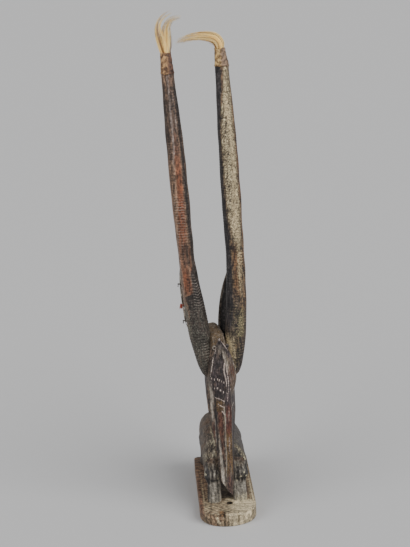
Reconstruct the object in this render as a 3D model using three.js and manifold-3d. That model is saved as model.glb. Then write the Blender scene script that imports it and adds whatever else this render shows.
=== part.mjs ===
// Tall antelope headdress: a small antelope with very long horns, carved with its plinth from one piece of
// wood, with a hide sleeve and a hair tuft on each horn tip and three threads in the rim of one ear.
// Millimetres, +Z up. The face looks towards -Y, and left is the side of -X, as someone in front sees it.
// The origin is the centre of the plinth's underside.
import * as THREE from 'three';
import { mergeVertices } from 'three/addons/utils/BufferGeometryUtils.js';
import Module from 'manifold-3d';

// Plinth
const PLINTH_WIDTH = 98;
const PLINTH_LENGTH = 240;
const PLINTH_HEIGHT = 25;
const PLINTH_EDGE = 1.4;
const PLINTH_FRONT = 42; // how far the rounded front end reaches beyond the straight sides
const PLINTH_BACK = 18;
const TIE_HOLE_RADIUS = 4.6;
const TIE_HOLE_X = 3.3;
const TIE_HOLE_Y = -80;

// Trunk and legs
const FIGURE_X = 0.8; // the carver set the figure a little beside the plinth's middle
const TRUNK_WIDTH = 77;
const TRUNK_TOP = 130;
const TRUNK_WAIST = 80; // height where the flanks are widest
const TRUNK_SKEW = -13; // behind the shoulders the back's ridge lies this far beside the middle
const BELLY = 76;
const CHEST_Y = -57;
const RUMP_Y = 110;
const FORE_LEG_X = 22.5;
const HIND_LEG_X = 26;

// Head
const APEX_Z = 314; // point of the arch over the forehead
const APEX_Y = -45;
const MUZZLE_Z = 50;
const MUZZLE_TIP = 4; // the muzzle's lowest point lies this far beside its middle
const MUZZLE_Y = -105;
const FACE_TURN = THREE.MathUtils.degToRad(11); // the face looks a little towards +X
const RIDGE_HEIGHT = 3.2;
const CROWN_RISE = 11; // the crown's height over the apex
const SADDLE = 4; // dip between apex and crown
const CROWN_Y = 15;

// Horns
const HORN_FOOT = 236;
const HORN_END = 779;
const HORN_SPREAD = 41.4; // half the distance between the horns' centre lines at the waist
const HORN_FLARE = 0.0152; // growth of that half distance per millimetre of height
const HORN_LEAN = -0.0256; // sideways lean of the pair, per millimetre of height
const HORN_WAIST = 450;
const HORN_WAIST_X = -3.8; // middle of the pair at the waist
const HORN_SWEEP = 0.00025; // backward curve, per millimetre squared
const HORN_SQUARENESS = 2.2; // the section is a round pressed a little towards a square

// Ears
const EAR_FOOT = 282;
const EAR_TIP = 438;
const LEFT_EAR = { side: -1, half: 19, out: 29.5 }; // half width, and distance out from the middle
const RIGHT_EAR = { side: 1, half: 21, out: 27.5 };
const EAR_THICKNESS = 6.5;
const EAR_CUP = 6; // how far the middle lies behind the rims
const EAR_MIDDLE_X = -3.5; // middle between the ears

// Sleeves, tufts and threads
const SLEEVE_WALL = 1.3;
const FIT_GAP = 0.3; // clearance between pieces that touch
const LEFT_SLEEVE = { length: 31, overTip: 7, lower: 22.2, upper: 17.4, bend: 0.2 };
const RIGHT_SLEEVE = { length: 26.5, overTip: 9.5, lower: 23.8, upper: 17.2, bend: -1.6 };
const THREAD_RADIUS = 0.8;
const THREAD_LOOP = 2.7;
const THREAD_HOLE = 1.8;
const THREAD_SETBACK = 1.1; // the loop's middle lies this far behind the rim's edge
const THREAD_INSET = 0.7; // and this far in from it
const THREAD_HEIGHTS = { ear_thread_upper: 393, ear_thread_red: 358, ear_thread_lower: 331 };

const wasm = await Module();
wasm.setup();

// Smooth steps through rows of [place, size, size, ...]: the result gives the sizes at any place. A size has
// no slope at its highest and lowest rows, so it never runs past them.
function profile(rows) {
  const slope = (row, column) => {
    const [before, here, after] = [rows[row - 1], rows[row], rows[row + 1]];
    if (!before || !after) return 0;
    const rise = (here[column] - before[column]) / (here[0] - before[0]);
    const next = (after[column] - here[column]) / (after[0] - here[0]);
    return rise * next <= 0 ? 0 : (2 * rise * next) / (rise + next);
  };
  return (place) => {
    const row = rows.findIndex((entry, index) => index > 0 && (place <= entry[0] || !rows[index + 1]));
    const [start, end] = [rows[row - 1], rows[row]];
    const span = end[0] - start[0];
    const t = THREE.MathUtils.clamp((place - start[0]) / span, 0, 1);
    return start.slice(1).map((size, index) => {
      const lead = slope(row - 1, index + 1) * span * t * (1 - t) ** 2;
      const trail = slope(row, index + 1) * span * t * t * (t - 1);
      return THREE.MathUtils.lerp(size, end[index + 1], t * t * (3 - 2 * t)) + lead + trail;
    });
  };
}

// Even steps from one value to another, both included.
function steps(from, to, count) {
  return Array.from({ length: count + 1 }, (_, index) => from + ((to - from) * index) / count);
}

// A sine or cosine pressed towards a box: power 2 leaves it round, and a higher power squares it.
function squared(value, power) {
  return Math.sign(value) * Math.abs(value) ** (2 / power);
}

// The closed skin over a row of sections. place(stop, angle, reach) gives a point: stop is the section's
// entry in stops, angle goes round it, and reach is 1 on the skin and 0 in the middle of an end face.
function loft(stops, around, place) {
  const skin = new THREE.CylinderGeometry(1, 1, 1, around, stops.length - 1);
  const points = skin.getAttribute('position');
  for (let index = 0; index < points.count; index += 1) {
    const row = Math.round((points.getY(index) + 0.5) * (stops.length - 1));
    const angle = Math.atan2(points.getX(index), points.getZ(index));
    const reach = Math.round(Math.hypot(points.getX(index), points.getZ(index)));
    const { x, y, z } = place(stops[row], angle, reach);
    points.setXYZ(index, x, y, z);
  }
  return skin;
}

// A loft of level sections, each an oval around (x, y) that is wide by 2 * across and deep by 2 * through.
// Angle 0 is the front.
function upright(heights, around, oval, power = 2) {
  return loft(heights, around, (z, angle, reach) => {
    const { x, y, across, through } = oval(z);
    const sideways = reach * across * squared(Math.sin(angle), power);
    const forward = reach * through * squared(Math.cos(angle), power);
    return new THREE.Vector3(x + sideways, y - forward, z);
  });
}

// A closed geometry as a solid that can be joined and cut.
function solid(geometry) {
  geometry.deleteAttribute('normal');
  geometry.deleteAttribute('uv');
  const merged = mergeVertices(geometry, 0.001);
  const vertProperties = merged.getAttribute('position').array;
  const triVerts = new Uint32Array(merged.getIndex().array);
  return new wasm.Manifold(new wasm.Mesh({ numProp: 3, vertProperties, triVerts }));
}

function named(name, body, color, roughness) {
  const { vertProperties, triVerts } = body.getMesh();
  const geometry = new THREE.BufferGeometry();
  geometry.setAttribute('position', new THREE.BufferAttribute(vertProperties, 3));
  geometry.setIndex(new THREE.BufferAttribute(triVerts, 1));
  geometry.computeVertexNormals();
  const material = new THREE.MeshStandardMaterial({ color, roughness, metalness: 0 });
  const mesh = new THREE.Mesh(geometry, material);
  mesh.name = name;
  return mesh;
}

// The board: straight sides, a rounded front end and square corners at the back. The front end is rounder
// at the underside than at the top, and a hole for the tie goes down through it.
function plinth() {
  const levels = [
    { z: 0, inset: PLINTH_EDGE, power: 2 },
    { z: PLINTH_EDGE, inset: 0, power: 2.1 },
    { z: PLINTH_HEIGHT - PLINTH_EDGE, inset: 0, power: 2.8 },
    { z: PLINTH_HEIGHT, inset: PLINTH_EDGE, power: 2.8 },
  ];
  const cornerPower = 6;
  const around = 46; // leaves no corner point in the middle of a straight side
  const board = loft(levels, around, ({ z, inset, power }, angle, reach) => {
    const front = Math.cos(angle) > 0;
    const end = (front ? PLINTH_FRONT : PLINTH_BACK) - inset;
    const side = PLINTH_LENGTH / 2 - (front ? PLINTH_FRONT : PLINTH_BACK);
    const shape = front ? power : cornerPower;
    const x = (PLINTH_WIDTH / 2 - inset) * squared(Math.sin(angle), shape);
    const y = (front ? -side : side) - end * squared(Math.cos(angle), shape);
    return new THREE.Vector3(x * reach, y * reach, z);
  });
  const bore = new THREE.CylinderGeometry(TIE_HOLE_RADIUS, TIE_HOLE_RADIUS, 3 * PLINTH_HEIGHT, 20);
  bore.rotateX(Math.PI / 2);
  bore.translate(TIE_HOLE_X, TIE_HOLE_Y, 0);
  return solid(board).subtract(solid(bore));
}

// The barrel of the body, round over the back and squarer under the belly, closed by a rounded chest and rump.
function trunk() {
  const shape = profile([
    [CHEST_Y, 0.86, 0.7],
    [CHEST_Y + 5, 0.97, 0.86],
    [CHEST_Y + 22, 1, 0.97],
    [20, 1, 1],
    [RUMP_Y - 26, 0.97, 0.94],
    [RUMP_Y - 8, 0.86, 0.78],
    [RUMP_Y, 0.6, 0.5],
  ]);
  const ends = [CHEST_Y, CHEST_Y + 5, CHEST_Y + 12, CHEST_Y + 22];
  const stops = [...ends, ...steps(CHEST_Y + 40, RUMP_Y - 26, 4), RUMP_Y - 14, RUMP_Y - 6, RUMP_Y];
  const backPower = 1.85;
  const bellyPower = 5;
  return solid(loft(stops, 26, (y, angle, reach) => {
    const [wide, high] = shape(y);
    const up = Math.cos(angle) > 0;
    const power = up ? backPower : bellyPower;
    const x = (TRUNK_WIDTH / 2) * wide * squared(Math.sin(angle), power);
    const height = up ? (TRUNK_TOP - TRUNK_WAIST) * high : TRUNK_WAIST - BELLY;
    const z = TRUNK_WAIST + height * squared(Math.cos(angle), power) * reach;
    const behind = THREE.MathUtils.smoothstep(y, CHEST_Y, 20);
    const skew = TRUNK_SKEW * behind * Math.max(0, Math.cos(angle)) ** 1.5;
    return new THREE.Vector3(FIGURE_X + (x + skew) * reach, y, z);
  }));
}

// One leg from the plinth up into the trunk: hoof, shank, a knee that stands out, and thigh. Each row is
// [height, place along the body, outward shift, half width, half depth].
function leg(side, middle, rows) {
  const shape = profile(rows);
  const heights = rows.flatMap(([z], index) => (index ? [(rows[index - 1][0] + z) / 2, z] : [z]));
  const squareness = 3;
  return solid(upright(heights, 14, (z) => {
    const [y, outward, across, through] = shape(z);
    return { x: FIGURE_X + side * (middle + outward), y, across, through };
  }, squareness));
}

function foreLeg(side) {
  return leg(side, FORE_LEG_X, [
    [PLINTH_HEIGHT - 4, -61, 0, 11.8, 14],
    [38, -61, 0, 11.4, 13.2],
    [56, -60, 0, 11, 12],
    [72, -59, 1.8, 13.4, 13.6],
    [88, -55, 0.2, 12.6, 11.5],
    [104, -46, -5, 8.6, 9],
  ]);
}

function hindLeg(side) {
  return leg(side, HIND_LEG_X, [
    [PLINTH_HEIGHT - 4, 93, 0.6, 12.4, 17],
    [36, 94, 0, 11.8, 15],
    [54, 98, -0.4, 11.4, 11.5],
    [66, 98, 0, 12.2, 12],
    [78, 88, 0, 12.4, 19],
    [98, 78, -6, 8, 16],
  ]);
}

// The neck, hidden behind the face, from the shoulders to the back of the skull.
function neck() {
  const shape = profile([
    [104, -8, 18, 34],
    [130, -4, 14.5, 30],
    [165, 0, 16, 27],
    [200, 4, 18.5, 25],
    [235, 6, 21, 24],
    [262, 6, 19, 20],
  ]);
  return solid(upright(steps(104, 262, 7), 18, (z) => {
    const [y, across, through] = shape(z);
    return { x: FIGURE_X, y, across, through };
  }, 2.3));
}

// Face sizes at heights above the plinth's underside: [height, middle x, panel half width, keel, cheek half
// width, cheek set, back]. The panel is the front of the face, its keel is how far the nose ridge stands
// before the panel's edges, and the cheek and the back lie that far behind those edges.
const FACE = profile([
  [58, 2.2, 10, 11, 10.6, 4, 8],
  [86, 2.2, 12.6, 15, 13.4, 4, 7.5],
  [112, 1.5, 13.6, 18, 14.8, 4.5, 8],
  [147, 2.1, 14.8, 20, 19.4, 8, 12.5],
  [180, 3.7, 16, 20.5, 24.6, 17, 21],
  [210, 4.8, 17.3, 20, 25.7, 24, 38],
  [243, 5.2, 23.4, 15.5, 24.9, 28, 60],
  [270, 4.8, 19.4, 9, 25, 26, 66],
  [285, 4.2, 14, 6, 22, 24, 66],
  [300, 3, 8, 3.8, 18, 21, 64],
  [APEX_Z, 1.6, 0.8, 2, 13, 18, 58],
]);

// Half width of the nose ridge: a thin rib on the forehead that widens down the nose.
const RIDGE = profile([[58, 4], [90, 4.8], [150, 4.8], [205, 4.6], [240, 2.6], [290, 1.6], [APEX_Z, 0.8]]);

// The ridge runs a little beside the middle of the nose.
const RIDGE_BESIDE = profile([[58, 0], [84, 0], [112, 2.3], [205, 2.3], [240, 3], [270, 2.6], [APEX_Z, 0]]);

// Depth of the nose ridge's front. The nose is slightly dished.
function ridgeDepth(z) {
  const down = THREE.MathUtils.clamp((APEX_Z - z) / (APEX_Z - MUZZLE_Z), 0, 1);
  return THREE.MathUtils.lerp(APEX_Y, MUZZLE_Y, down ** 1.25);
}

// Half of a level section through the head, from the ridge round to the back: [sideways, backwards] from
// the middle of the line between the panel's edges.
function headHalf(z) {
  const [, panel, keel, cheek, set, back] = FACE(z);
  const [ridge] = RIDGE(z);
  const rib = Math.min(RIDGE_HEIGHT, keel * 0.6);
  const foot = [ridge + 0.9, rib - keel];
  const grooveDepth = 1.1;
  const grooveWidth = 2.4;
  return [
    [0, -keel],
    [ridge, 0.7 - keel],
    foot,
    [(foot[0] + panel) / 2, foot[1] / 2],
    [panel, 0],
    [panel - grooveDepth, grooveWidth / 2],
    [panel + 0.4, grooveWidth],
    [(panel + cheek) / 2 + 0.4, (grooveWidth + set) / 2],
    [cheek, set],
    [cheek * 0.98, set + (back - set) * 0.45],
    [cheek * 0.78, set + (back - set) * 0.85],
    [cheek * 0.42, back],
    [0, back],
  ];
}

// Long wedge of a face under a rounded skull. The muzzle ends in a blunt V under the ridge, and above the
// shoulder height the sections bend up to the top, which rises from the arch's apex to the crown.
function head() {
  const corners = headHalf(APEX_Z).length;
  const around = 2 * (corners - 1);
  const shoulder = 280;
  const muzzleFade = 34;
  const muzzleSlope = { left: 1.2, right: 2.4 };
  const chinSlope = 0.3;
  const heights = [...steps(58, 180, 9), ...steps(192, 270, 8), shoulder, ...steps(287, APEX_Z, 5)];
  return solid(loft(heights, around, (z, angle, reach) => {
    const turn = (Math.round((angle / (2 * Math.PI)) * around) + around) % around;
    const mirrored = turn > corners - 1;
    const corner = mirrored ? around - turn : turn;
    const [sideways, back] = headHalf(z)[corner];
    const shifted = RIDGE_BESIDE(z)[0] * [1, 1, 1, 0.5, 0][Math.min(corner, 4)];
    const side = (sideways * (mirrored ? -1 : 1) + shifted) * reach;
    const behind = reach ? back : 0;
    const [middle, , keel] = FACE(z);
    const x = middle + side * Math.cos(FACE_TURN) - behind * Math.sin(FACE_TURN);
    const y = ridgeDepth(z) + keel + behind * Math.cos(FACE_TURN) + side * Math.sin(FACE_TURN);
    const along = THREE.MathUtils.clamp((y - APEX_Y) / (CROWN_Y - APEX_Y), 0, 1.4);
    const beyond = Math.max(0, along - 1) * 30;
    const top = APEX_Z + CROWN_RISE * Math.min(along, 1) - SADDLE * Math.sin(Math.PI * Math.min(along, 1)) - beyond;
    const lift = Math.max(0, z - shoulder) / (APEX_Z - shoulder);
    const fade = Math.max(0, 1 - (z - 58) / muzzleFade);
    const beside = side - MUZZLE_TIP;
    const vee = beside < 0 ? -muzzleSlope.left * beside : muzzleSlope.right * beside;
    const cut = vee + chinSlope * (behind + keel) - (58 - MUZZLE_Z);
    return new THREE.Vector3(x, y, z + lift * (top - APEX_Z) + fade * cut);
  }));
}

// A low round boss at the panel's edge near the arch, one on each side, as the eyes.
function eye(side) {
  const bossRadius = 4.4;
  const boss = new THREE.SphereGeometry(bossRadius, 12, 6);
  boss.scale(1, 0.5, 1);
  const height = 296;
  const [middle, panel, keel] = FACE(height);
  const out = side * (panel + 0.5);
  boss.translate(middle + out, ridgeDepth(height) + keel + out * Math.sin(FACE_TURN), height);
  return solid(boss);
}

// Upper and lower end of a sleeve.
function mouthOf(sleeve) {
  return HORN_END + sleeve.overTip;
}

function hemOf(sleeve) {
  return mouthOf(sleeve) - sleeve.length;
}

// Width of a horn at each height, over the skull, through the waist and the swelling, to the sleeve. The
// left horn is thicker over the skull and thinner at the waist than the right one.
function hornWidths(skull, waist, swelling, upper) {
  return profile([
    [HORN_FOOT, 5],
    [HORN_FOOT + 10, 18],
    [HORN_FOOT + 26, 27],
    [HORN_FOOT + 54, 33.6],
    [HORN_FOOT + 92, skull],
    [HORN_WAIST - 60, (skull + waist) / 2],
    [HORN_WAIST, waist],
    [HORN_WAIST + 98, swelling],
    [HORN_END - 159, upper],
    [HORN_END - 109, upper - 2],
    [HORN_END - 67, upper - 5],
    [HORN_END - 24, upper - 7.9],
  ]);
}

// The foot is bent in towards the head by pinch, and a higher bow keeps the bend lower down.
const LEFT_HORN = {
  side: -1, width: hornWidths(37.6, 27.6, 30.6, 30), pinch: 17.1, bow: 1.3, sleeve: LEFT_SLEEVE,
};
const RIGHT_HORN = {
  side: 1, width: hornWidths(36.4, 31.7, 33.5, 32), pinch: 15.3, bow: 1.55, sleeve: RIGHT_SLEEVE,
};

// Centre line of a horn: the pair leans, each foot bends in to the head, and both sweep back. The tip bends
// a little sideways under its sleeve.
function hornMiddle({ side, pinch, bow, sleeve }, z) {
  const above = z - HORN_WAIST;
  const bentIn = pinch * Math.max(0, (HORN_WAIST - z) / (HORN_WAIST - HORN_FOOT)) ** bow;
  const rise = z - HORN_FOOT;
  const bend = sleeve.bend * THREE.MathUtils.smoothstep(z, hemOf(sleeve) - 12, mouthOf(sleeve) + 12);
  return {
    x: HORN_WAIST_X + HORN_LEAN * above + side * (HORN_SPREAD + HORN_FLARE * above - bentIn) + bend,
    y: -22.5 + 0.04 * rise + HORN_SWEEP * rise * rise,
  };
}

// Width of a horn where its sleeve covers it, measured on the outside of the sleeve.
function sleeveWidth(sleeve, z) {
  return THREE.MathUtils.mapLinear(z, hemOf(sleeve), mouthOf(sleeve), sleeve.lower, sleeve.upper);
}

function horn(shape) {
  const { sleeve, width } = shape;
  const hem = hemOf(sleeve);
  const nearSleeve = hem - 58;
  const oval = (z) => {
    const covered = z > hem - FIT_GAP / 2;
    const bare = THREE.MathUtils.lerp(width(z)[0], sleeve.lower, THREE.MathUtils.smoothstep(z, nearSleeve, hem));
    const under = sleeveWidth(sleeve, z) - 2 * (SLEEVE_WALL + FIT_GAP);
    const half = (covered ? under : bare) / 2;
    return { ...hornMiddle(shape, z), across: half, through: half };
  };
  const foot = [0, 4, 10, 18, 28].map((rise) => HORN_FOOT + rise);
  const shaft = steps(HORN_FOOT + 42, hem - FIT_GAP, 20);
  const tip = steps(hem, HORN_END, 2);
  return solid(upright([...foot, ...shaft, ...tip], 16, oval, HORN_SQUARENESS));
}

// Sizes of an ear at a height: the middle of its section, its half width, and how far down the leaf it is.
function earShape({ side, half, out }, z) {
  const open = 310; // the leaf is whole from here up
  const up = (z - open) / (EAR_TIP - open);
  const along = Math.max(0, up);
  const rooted = THREE.MathUtils.smoothstep(z, EAR_FOOT - 7, open + 25);
  const narrow = 0.45 + 0.55 * rooted;
  return {
    x: EAR_MIDDLE_X + side * (out + 19 * along ** 1.4 - 9 * (1 - rooted)),
    y: 8 + 0.26 * (z - open),
    half: half * narrow * (1 - along ** 3.5) + 0.6,
  };
}

// A pointed leaf behind each horn, hollowed towards the front.
function ear(shape) {
  const heights = [...steps(EAR_FOOT, 402, 9), 414, 424, 432, EAR_TIP];
  return solid(loft(heights, 16, (z, angle, reach) => {
    const { x, y, half } = earShape(shape, z);
    const across = Math.sin(angle) * reach;
    const shrink = Math.min(1, half / EAR_THICKNESS);
    const cup = EAR_CUP * (1 - across * across) * shrink;
    const skin = Math.cos(angle) * reach * (EAR_THICKNESS / 2) * shrink;
    return new THREE.Vector3(x + half * across, y - skin + cup, z);
  }));
}

// Outer rim of the left ear at a height.
function leftEarRim(z) {
  const { x, y, half } = earShape(LEFT_EAR, z);
  return new THREE.Vector3(x - half, y, z);
}

function threadHole(z) {
  const bore = new THREE.CylinderGeometry(THREAD_HOLE, THREAD_HOLE, 4 * EAR_THICKNESS, 12);
  const rim = leftEarRim(z);
  bore.translate(rim.x + THREAD_INSET + THREAD_LOOP, rim.y, rim.z);
  return solid(bore);
}

// The whole carving: everything of one piece of wood is joined, and the holes are cut last.
function carving() {
  const sides = [-1, 1];
  const parts = [
    plinth(), trunk(), neck(), head(),
    ...sides.flatMap((side) => [foreLeg(side), hindLeg(side), eye(side)]),
    ear(LEFT_EAR), ear(RIGHT_EAR),
    horn(LEFT_HORN), horn(RIGHT_HORN),
  ];
  const whole = parts.reduce((joined, part) => joined.add(part));
  return Object.values(THREAD_HEIGHTS).reduce((cut, z) => cut.subtract(threadHole(z)), whole);
}

// A tapered tube of hide over a horn tip, open at both ends.
function tipBinding(shape) {
  const { sleeve } = shape;
  const [hem, mouth] = [hemOf(sleeve), mouthOf(sleeve)];
  const shell = (inset, overrun) => {
    const heights = [hem - overrun, ...steps(hem, mouth, 3), mouth + overrun];
    return solid(upright(overrun ? heights : heights.slice(1, -1), 16, (z) => {
      const half = sleeveWidth(sleeve, z) / 2 - inset;
      return { ...hornMiddle(shape, z), across: half, through: half };
    }, HORN_SQUARENESS));
  };
  return shell(0, 0).subtract(shell(SLEEVE_WALL, 2));
}

// A lock of hair along a curve: [half width, half depth] at evenly spaced places from root to end.
function lock(points, sizes, count) {
  const curve = new THREE.CatmullRomCurve3(points);
  const shape = profile(sizes.map((size, index) => [index / (sizes.length - 1), ...size]));
  const backwards = new THREE.Vector3(0, 1, 0);
  return solid(loft(steps(0, 1, count), 10, (t, angle, reach) => {
    const tangent = curve.getTangentAt(t);
    const across = new THREE.Vector3().crossVectors(backwards, tangent).normalize();
    const through = new THREE.Vector3().crossVectors(across, tangent);
    const [half, deep] = shape(t);
    const point = curve.getPointAt(t);
    point.addScaledVector(across, half * Math.sin(angle) * reach);
    return point.addScaledVector(through, deep * Math.cos(angle) * reach);
  }));
}

// The root of a tuft, a plug in the open end of its sleeve, and the points that its locks pass through,
// as offsets from the middle of the sleeve's mouth.
function tuft(shape, locks) {
  const { sleeve } = shape;
  const spare = 0.4; // keeps clear of the sleeve as its bore narrows
  const top = mouthOf(sleeve);
  const root = sleeve.upper / 2 - SLEEVE_WALL - FIT_GAP - spare;
  const plug = solid(upright([HORN_END + FIT_GAP, top + 3], 10, (z) => (
    { ...hornMiddle(shape, z), across: root, through: root }
  )));
  const mouth = hornMiddle(shape, top);
  const grown = locks.map(({ route, sizes, count }) => {
    const points = route.map(([x, y, z]) => new THREE.Vector3(mouth.x + x, mouth.y + y, top + z));
    return lock(points, sizes, count);
  });
  return grown.reduce((joined, part) => joined.add(part), plug);
}

// Hair that rises straight from the sleeve, parts, and bends over to the right in two ends.
function leftTuft() {
  return tuft(LEFT_HORN, [
    {
      route: [[-1.5, 0, 1.2], [-5.2, 1.5, 12], [-6.6, 3, 25], [-8.6, 3, 36], [-6, 3, 50], [3.3, 2, 61], [18.5, 1, 68]],
      sizes: [[5.4, 5.6], [7.4, 7], [7.8, 6.6], [5.4, 5], [2.8, 2.8], [1.8, 1.8], [0.6, 0.6]],
      count: 11,
    },
    {
      route: [[1.5, 0, 1.2], [4.7, 2, 12], [6, 3, 25], [6.9, 4, 36], [12.3, 3, 45], [22.7, 3, 53], [33, 2, 57]],
      sizes: [[5.4, 5.6], [7.2, 7], [7.6, 6.6], [6.8, 5.6], [4.2, 4], [2.4, 2.4], [0.6, 0.6]],
      count: 11,
    },
  ]);
}

// Hair that bends over to the left as soon as it leaves the sleeve, and droops at its thin end.
function rightTuft() {
  return tuft(RIGHT_HORN, [
    {
      route: [[0, 0, 1.2], [-4, 2, 10], [-17, 3, 19], [-33, 4, 21.5], [-48, 4, 20], [-60, 3, 16], [-73, 2, 13.5]],
      sizes: [[6.2, 6], [8.6, 7.4], [8.4, 7], [7.6, 6.4], [6, 5], [3, 2.6], [0.6, 0.6]],
      count: 14,
    },
  ]);
}

// A thread tied in a loop round the ear's rim, through the rim's hole. The red one has a frayed end left.
function earThread(z, frayed) {
  const loop = new THREE.TorusGeometry(THREAD_LOOP, THREAD_RADIUS, 6, 16);
  const rim = leftEarRim(z);
  loop.translate(rim.x + THREAD_INSET, rim.y + THREAD_SETBACK, rim.z);
  if (!frayed) return solid(loop);
  const endRadius = 2.1;
  const end = new THREE.CapsuleGeometry(endRadius, 8, 3, 8);
  end.rotateX(Math.PI / 2);
  end.translate(rim.x - endRadius - 2 * FIT_GAP, rim.y, rim.z - 3);
  return solid(loop).add(solid(end));
}

const WOOD = 0x40342b;
const HIDE = 0x9a7549;
const HAIR = 0xd9bd85;
const DARK_THREAD = 0x2c2422;
const RED_THREAD = 0xb5483a;

const headdress = new THREE.Group();
headdress.add(
  named('antelope_carving', carving(), WOOD, 0.72),
  named('left_tip_binding', tipBinding(LEFT_HORN), HIDE, 0.8),
  named('right_tip_binding', tipBinding(RIGHT_HORN), HIDE, 0.8),
  named('left_hair_tuft', leftTuft(), HAIR, 0.6),
  named('right_hair_tuft', rightTuft(), HAIR, 0.6),
);
for (const [name, z] of Object.entries(THREAD_HEIGHTS)) {
  const red = name === 'ear_thread_red';
  headdress.add(named(name, earThread(z, red), red ? RED_THREAD : DARK_THREAD, 0.9));
}

export default headdress;
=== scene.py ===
import math

import bpy
import numpy as np
from mathutils import Matrix, Vector


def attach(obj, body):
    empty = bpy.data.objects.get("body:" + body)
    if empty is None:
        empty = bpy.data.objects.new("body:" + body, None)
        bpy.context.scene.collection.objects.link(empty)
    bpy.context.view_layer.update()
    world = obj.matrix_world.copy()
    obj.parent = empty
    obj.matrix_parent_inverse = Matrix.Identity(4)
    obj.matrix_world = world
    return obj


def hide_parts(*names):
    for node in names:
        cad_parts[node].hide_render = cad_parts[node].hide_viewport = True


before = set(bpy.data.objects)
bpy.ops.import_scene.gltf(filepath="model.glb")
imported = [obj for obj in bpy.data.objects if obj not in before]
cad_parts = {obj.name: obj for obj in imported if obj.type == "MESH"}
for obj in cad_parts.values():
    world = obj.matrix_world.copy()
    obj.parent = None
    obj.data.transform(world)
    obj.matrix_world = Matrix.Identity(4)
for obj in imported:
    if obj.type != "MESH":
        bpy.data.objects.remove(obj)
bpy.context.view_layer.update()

MM = 0.001

# The carving: a small antelope with very long horns and the board that it stands on, cut from one piece of
# close-grained wood with an adze and a knife, then blackened, rubbed and handled for years. All sizes are
# in millimetres. The face looks towards -Y, and left is the side of -X, as someone in front sees it.


def profile(rows, place):
    """Sizes at a place, from rows of [place, size, size, ...]: one array for each size. Between two rows a
    size follows a cubic whose slope at a row is the harmonic mean of the slopes on both sides, and zero at
    the first row, at the last row and where the size turns."""
    rows = np.asarray(rows, float)
    stops, sizes = rows[:, 0], rows[:, 1:]
    slope = np.diff(sizes, axis=0) / np.diff(stops)[:, None]
    both = slope[:-1] * slope[1:]
    total = slope[:-1] + slope[1:]
    lean = np.zeros_like(sizes)
    lean[1:-1] = np.where(both > 0, 2 * both / np.where(total == 0, 1, total), 0)
    place = np.clip(place, stops[0], stops[-1])
    row = np.clip(np.searchsorted(stops, place, side="left") - 1, 0, len(stops) - 2)
    span = (stops[row + 1] - stops[row])[..., None]
    t = (place - stops[row])[..., None] / span
    value = sizes[row] * (1 + 2 * t) * (1 - t) ** 2 + sizes[row + 1] * t * t * (3 - 2 * t)
    value = value + lean[row] * span * t * (1 - t) ** 2 + lean[row + 1] * span * t * t * (t - 1)
    return np.moveaxis(value, -1, 0)


def ease(value, low, high):
    """0 up to low, 1 from high, and 3t^2 - 2t^3 between them."""
    t = np.clip((np.asarray(value, float) - low) / (high - low), 0, 1)
    return t * t * (3 - 2 * t)


def squared(value, power):
    """The value's sign times its size to the power 2 / power: 2 leaves a circle round, more squares it."""
    return np.sign(value) * np.abs(value) ** (2 / power)


def uneven(x, y, z, size, seed):
    """Slow unevenness from about -1 to 1: the sum of nine sine waves over (x, y, z), whose directions,
    lengths near size and phases are drawn from the seed, divided by three."""
    draw = np.random.default_rng(seed)
    total = 0
    for _ in range(9):
        way = draw.normal(size=3)
        way *= 2 * np.pi / (size * draw.uniform(0.6, 1.9) * np.linalg.norm(way))
        total = total + np.sin(way[0] * x + way[1] * y + way[2] * z + draw.uniform(0, 2 * np.pi))
    return total / 3


def around(count):
    """A row of angles round a section, from 0 at the front, with none repeated."""
    return np.arange(count)[None, :] * (2 * np.pi / count)


def uneven_round(radius, angle, z, size, seed):
    """The unevenness round a section of a radius."""
    return uneven(radius * np.sin(angle), radius * np.cos(angle), z, size, seed)


def oval(x, y, across, through, angle, power):
    """A level section round (x, y): a round that is pressed towards a square by its power."""
    return x + across * squared(np.sin(angle), power), y - through * squared(np.cos(angle), power)


def points_at(x, y, z):
    """Points from their coordinates, each of which may be a row, a column or a single value."""
    return np.stack(np.broadcast_arrays(x, y, z), -1)


def new_object(name, data):
    """A new object in the scene."""
    made = bpy.data.objects.new(name, data)
    bpy.context.scene.collection.objects.link(made)
    return made


def closed_mesh(name, points, walls, caps, finish):
    """An object from points in millimetres, four-sided walls and three-sided caps. The faces are turned over
    where the volume that they enclose comes out negative."""
    caps = np.reshape(caps, (-1, 3)).astype(int)
    corner = points[np.concatenate([walls[:, :3], walls[:, [0, 2, 3]], caps])]
    if np.einsum("ij,ij->i", corner[:, 0], np.cross(corner[:, 1], corner[:, 2])).sum() < 0:
        walls, caps = walls[:, ::-1], caps[:, ::-1]
    mesh = bpy.data.meshes.new(name)
    mesh.from_pydata(points * MM, [], [*walls.tolist(), *caps.tolist()])
    mesh.shade_smooth()
    mesh.materials.append(finish)
    return new_object(name, mesh)


def closed_skin(name, x, y, z, finish):
    """A closed mesh over a grid of points, rows by places round a section. Each row joins the next, a row
    joins its own start, and the first and the last row close on the point in their middle."""
    grid = points_at(x, y, z).astype(float)
    rows, count = grid.shape[:2]
    points = np.concatenate([grid.reshape(-1, 3), grid[[0, -1]].mean(1)])
    here = np.arange(rows * count).reshape(rows, count)
    there = np.roll(here, -1, 1)
    walls = np.stack([here[:-1], there[:-1], there[1:], here[1:]], -1).reshape(-1, 4)
    low, high = rows * count, rows * count + 1
    caps = np.concatenate([
        np.stack([there[0], here[0], np.full(count, low)], -1),
        np.stack([here[-1], there[-1], np.full(count, high)], -1),
    ])
    return closed_mesh(name, points, walls, caps, finish)


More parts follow.
